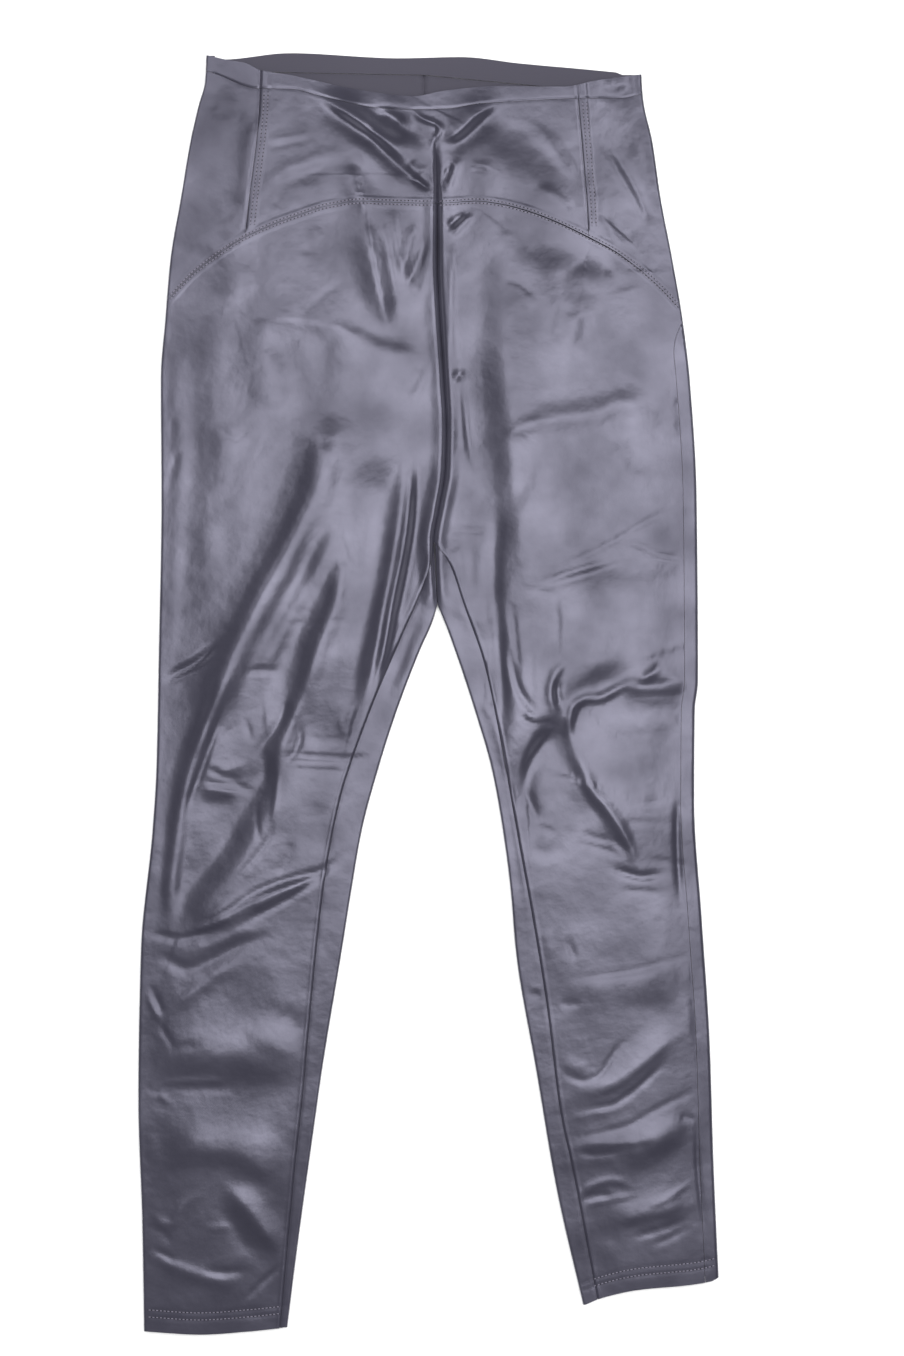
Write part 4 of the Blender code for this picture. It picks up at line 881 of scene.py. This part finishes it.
def makeBackLeg(half):
    hipY = np.concatenate([half.yokeY, half.hipY[1:]])
    keep = np.linspace(0, len(hipY) - 1, grid["underRows"] + 1).round().astype(int)
    hipY = hipY[keep]
    allY = np.concatenate([hipY, half.legY[1:]])
    crotchRow = len(hipY) - 1
    inseam, edge, outward = half.inseam(), half.innerEdge(), half.innerOutward()
    topOfEdge = edge - outward * cloth["edgeRadius"]
    s = np.linspace(0, 1, grid["strip"] + 1)[None, :, None]
    strip = onTop(inseam[:, None] * (1 - s) + topOfEdge[:, None] * s)
    roll = np.linspace(1, -1, grid["roll"] + 1)[None] * cloth["edgeRadius"] * np.pi / 2
    turned = roundEdge(edge[:, None], outward[:, None], np.repeat(roll, len(edge), axis=0))
    legPoints = joined(strip, turned)

    underEnd = cloth["leftSideSeam"] if half.sign < 0 else cloth["backTurn"]
    outerPlan = half.edgeAt(allY) - half.outward * wrapInset(np.full(len(allY), underEnd))[:, None]
    share = (keep / keep[-1])[:-1, None]  # of the way down the centre-back seam
    start = np.array(backCentre, float)
    centrePlan = start + (topOfEdge[0] - start) * share
    s = np.linspace(0, 1, grid["under"] + 1)[None, :, None]
    fromPoints = np.concatenate([centrePlan, topOfEdge])
    under = fromPoints[:, None] * (1 - s) + outerPlan[:, None] * s
    legUnder = under[crotchRow:]
    hemFix = lineY("hem_" + half.name, legUnder[-1, :, 0]) - legUnder[-1, :, 1]
    hemShare = easeIn(half.q - cloth["hemTurn"][0], cloth["hemTurn"][1])
    legUnder[..., 1] += hemShare[:, None] * hemFix[None]

    first = legPoints.shape[1] - 1
    blank = np.zeros((crotchRow, first, 3))
    points = np.concatenate([np.concatenate([blank, legPoints[:, :-1]]), onUnder(under)], axis=1)
    if half.sign > 0:
        points = joined(points, half.backWrap(allY))
    rows, columns = points.shape[:2]
    used = np.ones((rows, columns), bool)
    used[:crotchRow, :first] = False
    seams = [
        columnSeam(0, 1, range(crotchRow, rows)), rowSeam(crotchRow, 1, range(first)),
        rowSeam(0, 1, range(first, columns)), columnSeam(columns - 1, -1, range(rows)),
    ]
    name = "backLeg" + half.name.title()
    return panel(name, "back_leg_" + half.name, points, seams, half.sign < 0, used=used)


def sewnPanel(name, node, points, flip, freeTop=False, **kind):
    rows, columns = points.shape[:2]
    seams = [
        rowSeam(rows - 1, -1, range(columns)), columnSeam(0, 1, range(rows)),
        columnSeam(columns - 1, -1, range(rows)),
    ]
    if not freeTop:
        seams.append(rowSeam(0, 1, range(columns)))
    return panel(name, node, points, seams, flip, **kind)


def makeYokes(left, right):
    made = []
    middles = {}
    for half in (left, right):
        side, middle = half.yokeRows("front_band_seam", "yoke_seam", half.yokeY, half.tYoke)
        middles[half.name] = onTop(middle)
        points = joined(half.frontWrap(half.yokeY), onTop(side))
        name, node = "frontYokeSide" + half.name.title(), "front_yoke_side_" + half.name
        made.append(sewnPanel(name, node, points, half.sign < 0))
    points = joined(middles["left"], middles["right"][:, ::-1])
    centreColumn = middles["left"].shape[1] - 1
    return made + [sewnPanel("frontYokeCentre", "front_yoke_centre", points, True, foldColumn=centreColumn)]


def makeWaistband(left, right):
    halves = []
    for half in (left, right):
        side, middle = half.yokeRows("front_top", "front_band_seam", half.bandY, half.tBand)
        halves.append(joined(half.frontWrap(half.bandY), onTop(side), onTop(middle)))
    points = joined(halves[0], halves[1][:, ::-1])
    band = {"freeTop": True, "wall": cloth["bandWall"], "slot": "waistband"}
    front = sewnPanel("waistbandFront", "waistband_front", points, True, **band)

    backs = []
    for half in (left, right):
        y = half.bandY
        end = cloth["leftSideSeam"] if half.sign < 0 else cloth["backTurn"]
        outerPlan = half.edgeAt(y) - half.outward * wrapInset(np.full(len(y), end))[:, None]
        topY = lineY("back_top", backCentre[0])
        centreY = topY + (backCentre[1] - topY) * half.tBand
        centre = np.stack([np.full(len(y), backCentre[0]), centreY], axis=-1)
        s = np.linspace(0, 1, grid["under"] + 1)[None, :, None]
        rows = outerPlan[:, None] * (1 - s) + centre[:, None] * s
        fade = (1 - half.tBand)[:, None]
        rows[..., 1] += fade * (lineY("back_top", rows[0, :, 0]) - rows[0, :, 1])[None]
        block = onUnder(rows)
        if half.sign > 0:
            block = joined(half.backWrap(y)[:, ::-1], block)
        backs.append(block)
    points = joined(backs[0], backs[1][:, ::-1])
    back = sewnPanel("waistbandBack", "waistband_back", points, False, **band)
    return [front, back]


stitch = {
    "pitch": 2.9,  # one stitch to the next
    "steps": 8, "around": 6,  # corners along and around each stitch
    "sink": 0.4, "thin": 0.05,  # the thread dips this far where it has this share of its width or less
    "margin": 3.0,  # between a row's end and an edge
    "yokePoints": 120, "points": 60,  # along the yoke seam, and along the others
}
threadForm = {"length": 2.0, "width": 0.8, "height": 0.5, "shift": 0.0}
paintedHoleShadeForm = {"length": 0.9, "width": 1.3, "height": 0.25, "shift": 0.5}  # dark beads between the stitches, painted shade of the needle holes
stitchRows = {"yoke": (-1.6, 1.6), "princess": (3.0, 6.2), "hem": seamLook["hemRows"]}  # mm from each seam


def beads(path, form):  # a thread that swells at each stitch and dips under the cloth between them
    run = np.concatenate([[0], np.cumsum(np.linalg.norm(np.diff(path, axis=0), axis=1))])
    count = int(run[-1] / stitch["pitch"])
    at = np.linspace(0, count, count * stitch["steps"] + 1)
    middle = onTop(np.stack([np.interp(at * run[-1] / count, run, path[:, i]) for i in (0, 1)], axis=-1))
    along = np.gradient(middle, axis=0)
    along /= np.linalg.norm(along, axis=1, keepdims=True)
    side = np.cross(along, [0.0, 0.0, 1.0])
    side /= np.linalg.norm(side, axis=1, keepdims=True)
    lift = np.cross(side, along)
    phase = (at + form["shift"]) % 1 - 0.5
    swell = np.sqrt(np.clip(1 - (2 * phase * stitch["pitch"] / form["length"]) ** 2, 0, 1))[:, None, None]
    turn = (np.linspace(0, 2 * np.pi, stitch["around"] + 1) - np.pi / 2)[None, :, None]
    wide = side[:, None] * np.cos(turn) * form["width"] / 2
    high = lift[:, None] * np.sin(turn) * form["height"] / 2
    return middle[:, None] + (wide + high) * swell - lift[:, None] * stitch["sink"] * (swell < stitch["thin"])


def stitching(name, paths):
    whole = bmesh.new()
    for path in paths:
        # the thread first, then dark beads of painted shade for the needle holes between the stitches
        for index, form in enumerate((threadForm, paintedHoleShadeForm)):
            row = gridMesh(beads(path, form))
            for face in row.faces:
                face.material_index = index
            part = bpy.data.meshes.new("row")
            row.to_mesh(part)
            row.free()
            whole.from_mesh(part)
            bpy.data.meshes.remove(part)
    bmesh.ops.reverse_faces(whole, faces=whole.faces)
    data = bpy.data.meshes.new(name)
    whole.to_mesh(data)
    whole.free()
    data.shade_smooth()
    piece = bpy.data.objects.new(name, data)
    bpy.context.scene.collection.objects.link(piece)
    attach(piece, "root")
    return piece


def makeStitching(half):
    margin = stitch["margin"]
    yoke, hem = outerY["yoke"][half.name], outerY["hem"][half.name]
    fromX, toX = edgeX("outer_" + half.name, yoke) - half.sign * margin, frontCentreX + half.sign * margin
    acrossX = np.linspace(fromX, toX, stitch["yokePoints"])
    yokePaths = []
    for row in stitchRows["yoke"]:
        yokePaths.append(np.stack([acrossX, lineY("yoke_seam", acrossX) + row], axis=-1))
    line = princessX[half.name]
    fromY, toY = lineY("front_band_seam", line) - margin, lineY("yoke_seam", line) + 2 * margin
    downY = np.linspace(fromY, toY, stitch["points"])
    princessPaths = []
    for row in stitchRows["princess"]:
        princessPaths.append(np.stack([edgeX("princess_" + half.name, downY) + row, downY], axis=-1))
    fromX, toX = edgeX("outer_" + half.name, hem) - half.sign * margin, edgeX("inseam_" + half.name, hem)
    hemX = np.linspace(fromX, toX, stitch["points"])
    hemPaths = []
    for row in stitchRows["hem"]:
        hemPaths.append(np.stack([hemX, lineY("hem_" + half.name, hemX) + row], axis=-1))
    side = half.name.title()
    return [
        stitching("yokeStitches" + side, yokePaths), stitching("princessStitches" + side, princessPaths),
        stitching("hemStitches" + side, hemPaths),
    ]


def sRgb(code):  # a hex colour as Blender's linear values
    parts = [int(code[i : i + 2], 16) / 255 for i in (0, 2, 4)]
    return tuple(c / 12.92 if c <= 0.04045 else ((c + 0.055) / 1.055) ** 2.4 for c in parts) + (1.0,)


def addNode(tree, kind, links=(), inputs=(), **settings):
    node = tree.nodes.new(kind)
    for name, value in settings.items():
        setattr(node, name, value)
    for socket, value in inputs:
        node.inputs[socket].default_value = value
    for socket, source in links:
        tree.links.new(source, node.inputs[socket])
    return node


coatedLook = {
    "colour": "302f3a", "deepColour": "2a2933", "roughness": 0.3, "tint": "e9e7ff",
    "sheen": 0.15, "sheenRoughness": 0.4,  # a thin haze at glancing angles
    "grainSize": 0.9, "grainHeight": 0.03, "grainStrength": 0.12,  # about 0.5 mm, drawn larger to show
    "dentSize": 15.0, "dentHeight": 0.52, "dentDetail": 3.0, "dentRoughness": 0.45,  # left by handling
    "cloudSize": 48.0, "cloudDetail": 5.0, "cloudSpan": (0.3, 0.7), "cloudGloss": (0.38, 0.8),  # uneven shine
}


# Polyurethane film laid on knit and embossed: a smooth, satin skin with broad soft reflections, brighter and
# duller in patches where it has been handled, and a fine even grain.
def coatedCloth():
    material = bpy.data.materials.new("satinPolyurethaneCoating")
    material.use_nodes = True
    tree = material.node_tree
    shader = tree.nodes["Principled BSDF"]
    shader.inputs["Metallic"].default_value = 0.0
    shader.inputs["Roughness"].default_value = coatedLook["roughness"]
    shader.inputs["Sheen Weight"].default_value = coatedLook["sheen"]
    shader.inputs["Sheen Roughness"].default_value = coatedLook["sheenRoughness"]
    shader.inputs["Specular Tint"].default_value = sRgb(coatedLook["tint"])
    place = addNode(tree, "ShaderNodeTexCoord").outputs["Object"]
    cloud = addNode(
        tree, "ShaderNodeTexNoise", [("Vector", place)],
        [("Scale", 1 / (coatedLook["cloudSize"] * mm)), ("Detail", coatedLook["cloudDetail"])])
    ramp = addNode(tree, "ShaderNodeMix", [(0, cloud.outputs["Fac"])], data_type="RGBA")
    ramp.inputs[6].default_value = sRgb(coatedLook["deepColour"])
    ramp.inputs[7].default_value = sRgb(coatedLook["colour"])
    tree.links.new(ramp.outputs[2], shader.inputs["Base Color"])
    low, high = coatedLook["cloudSpan"]
    gloss = addNode(
        tree, "ShaderNodeMapRange", [("Value", cloud.outputs["Fac"])],
        [("From Min", low), ("From Max", high)])
    gloss.inputs["To Min"].default_value, gloss.inputs["To Max"].default_value = coatedLook["cloudGloss"]
    tree.links.new(gloss.outputs["Result"], shader.inputs["Specular IOR Level"])
    grain = addNode(
        tree, "ShaderNodeTexVoronoi", [("Vector", place)],
        [("Scale", 1 / (coatedLook["grainSize"] * mm)), ("Randomness", 1.0)])
    dents = addNode(
        tree, "ShaderNodeTexNoise", [("Vector", place)],
        [("Scale", 1 / (coatedLook["dentSize"] * mm)), ("Detail", coatedLook["dentDetail"]),
         ("Roughness", coatedLook["dentRoughness"])])
    uneven = addNode(
        tree, "ShaderNodeBump", [("Height", dents.outputs["Fac"])],
        [("Strength", 1.0), ("Distance", coatedLook["dentHeight"] * mm)])
    bump = addNode(
        tree, "ShaderNodeBump", [("Height", grain.outputs["Distance"]), ("Normal", uneven.outputs["Normal"])],
        [("Strength", coatedLook["grainStrength"]), ("Distance", coatedLook["grainHeight"] * mm)])
    tree.links.new(bump.outputs["Normal"], shader.inputs["Normal"])
    return material


plainLooks = {
    "brushedKnitBacking": {"colour": "45434e", "roughness": 0.85, "gloss": 0.3},  # raised fibres, so dull
    "spunPolyesterThread": {"colour": "6c6876", "roughness": 0.5, "gloss": 0.3},  # pale, duller than film
    "needleHoleShade": {"colour": "1b1a1f", "roughness": 0.9, "gloss": 0.3},  # dark dots between stitches, painted shade of the needle holes
    "whitePaper": {"colour": "fbfbfb", "roughness": 0.9, "gloss": 0.1},  # matt, an even white all over
}


def plainMaterial(name):
    look = plainLooks[name]
    material = bpy.data.materials.new(name)
    material.use_nodes = True
    shader = material.node_tree.nodes["Principled BSDF"]
    shader.inputs["Base Color"].default_value = sRgb(look["colour"])
    shader.inputs["Roughness"].default_value = look["roughness"]
    shader.inputs["Specular IOR Level"].default_value = look["gloss"]
    return material


stage = {"reach": 6.0, "drop": 0.0005}  # metres from the middle to the floor's edge, and down to the floor


def makeStage():
    mesh = bmesh.new()
    bmesh.ops.create_grid(mesh, x_segments=1, y_segments=1, size=stage["reach"])
    data = bpy.data.meshes.new("clothFloor")
    mesh.to_mesh(data)
    mesh.free()
    floor = bpy.data.objects.new("clothFloor", data)
    bpy.context.scene.collection.objects.link(floor)
    floor.location.z = -stage["drop"]
    data.materials.append(plainMaterial("whitePaper"))


# Soft boxes overhead: place and size in metres, power in watts, turn in degrees. The cloth mirrors them, and
# where they end its slopes go dark.
lights = {
    "key": {"place": (0.17, 0.2, 2.6), "size": (1.66, 1.46), "power": 56.5, "turn": -13.0},
    "fill": {"place": (0.0, 0.0, 3.2), "size": (4.5, 4.5), "power": 21.0, "turn": 0.0},
    "leftHip": {"place": (-1.1, 1.15, 2.6), "size": (0.9, 0.65), "power": 13.0, "turn": 0.0},
    "rightHip": {"place": (1.3, 1.0, 2.6), "size": (0.8, 0.8), "power": 24.0, "turn": 0.0},
    "hem": {"place": (0.5, -1.1, 2.6), "size": (0.6, 0.4), "power": 1.6, "turn": 0.0},
}
studioGlow = {"low": 3.0, "high": 0.1, "upTo": 0.55}  # pale walls near the floor, dim ceiling


def makeLights():
    for name, light in lights.items():
        data = bpy.data.lights.new(name, "AREA")
        data.shape = "RECTANGLE"
        data.size, data.size_y = light["size"]
        data.energy = light["power"]
        lamp = bpy.data.objects.new(name, data)
        lamp.location = light["place"]
        lamp.rotation_euler.z = math.radians(light["turn"])
        bpy.context.scene.collection.objects.link(lamp)
    world = bpy.data.worlds.new("studio")
    world.use_nodes = True
    tree = world.node_tree
    upward = addNode(tree, "ShaderNodeTexCoord").outputs["Generated"]
    parts = addNode(tree, "ShaderNodeSeparateXYZ", [("Vector", upward)])
    glow = addNode(
        tree, "ShaderNodeMapRange", [("Value", parts.outputs["Z"])],
        [("From Max", studioGlow["upTo"]), ("To Min", studioGlow["low"]), ("To Max", studioGlow["high"])])
    tree.links.new(glow.outputs["Result"], tree.nodes["Background"].inputs["Strength"])
    tree.nodes["Background"].inputs["Color"].default_value = (1, 1, 1, 1)
    bpy.context.scene.world = world
    bpy.context.scene.view_settings.view_transform = "Standard"


def makeCamera():
    wide, high = photo["pixels"]
    data = bpy.data.cameras.new("photoCamera")
    data.lens = photo["lens"]
    data.sensor_width = photo["sensor"]
    camera = bpy.data.objects.new("photoCamera", data)
    scale = photo["mmPerPixel"] * mm
    distance = high * scale * photo["lens"] / photo["sensor"]
    middle = (wide / 2 - photo["zeroAt"][0], photo["zeroAt"][1] - high / 2)
    camera.location = (middle[0] * scale, middle[1] * scale, distance)
    bpy.context.scene.collection.objects.link(camera)
    bpy.context.scene.camera = camera


def main():
    left, right = Half("left", -1), Half("right", 1)
    panels = []
    for half in (left, right):
        panels.append(makeFrontLeg(half))
        panels.append(makeBackLeg(half))
        print("leg panels", half.name)
    panels += makeYokes(left, right)
    print("yoke panels")
    panels += makeWaistband(left, right)
    print("waistband")
    outside, inside = coatedCloth(), plainMaterial("brushedKnitBacking")
    # the thread's own colour, and a dark colour that paints the shade of the needle holes
    thread, paintedHoleShade = plainMaterial("spunPolyesterThread"), plainMaterial("needleHoleShade")
    for piece in panels:
        piece.data.materials.append(outside)
        piece.data.materials.append(inside)
    for half in (left, right):
        for piece in makeStitching(half):
            piece.data.materials.append(thread)
            piece.data.materials.append(paintedHoleShade)
        print("stitching", half.name)
    makeStage()
    makeLights()
    makeCamera()
    print("floor, lights and camera")


main()
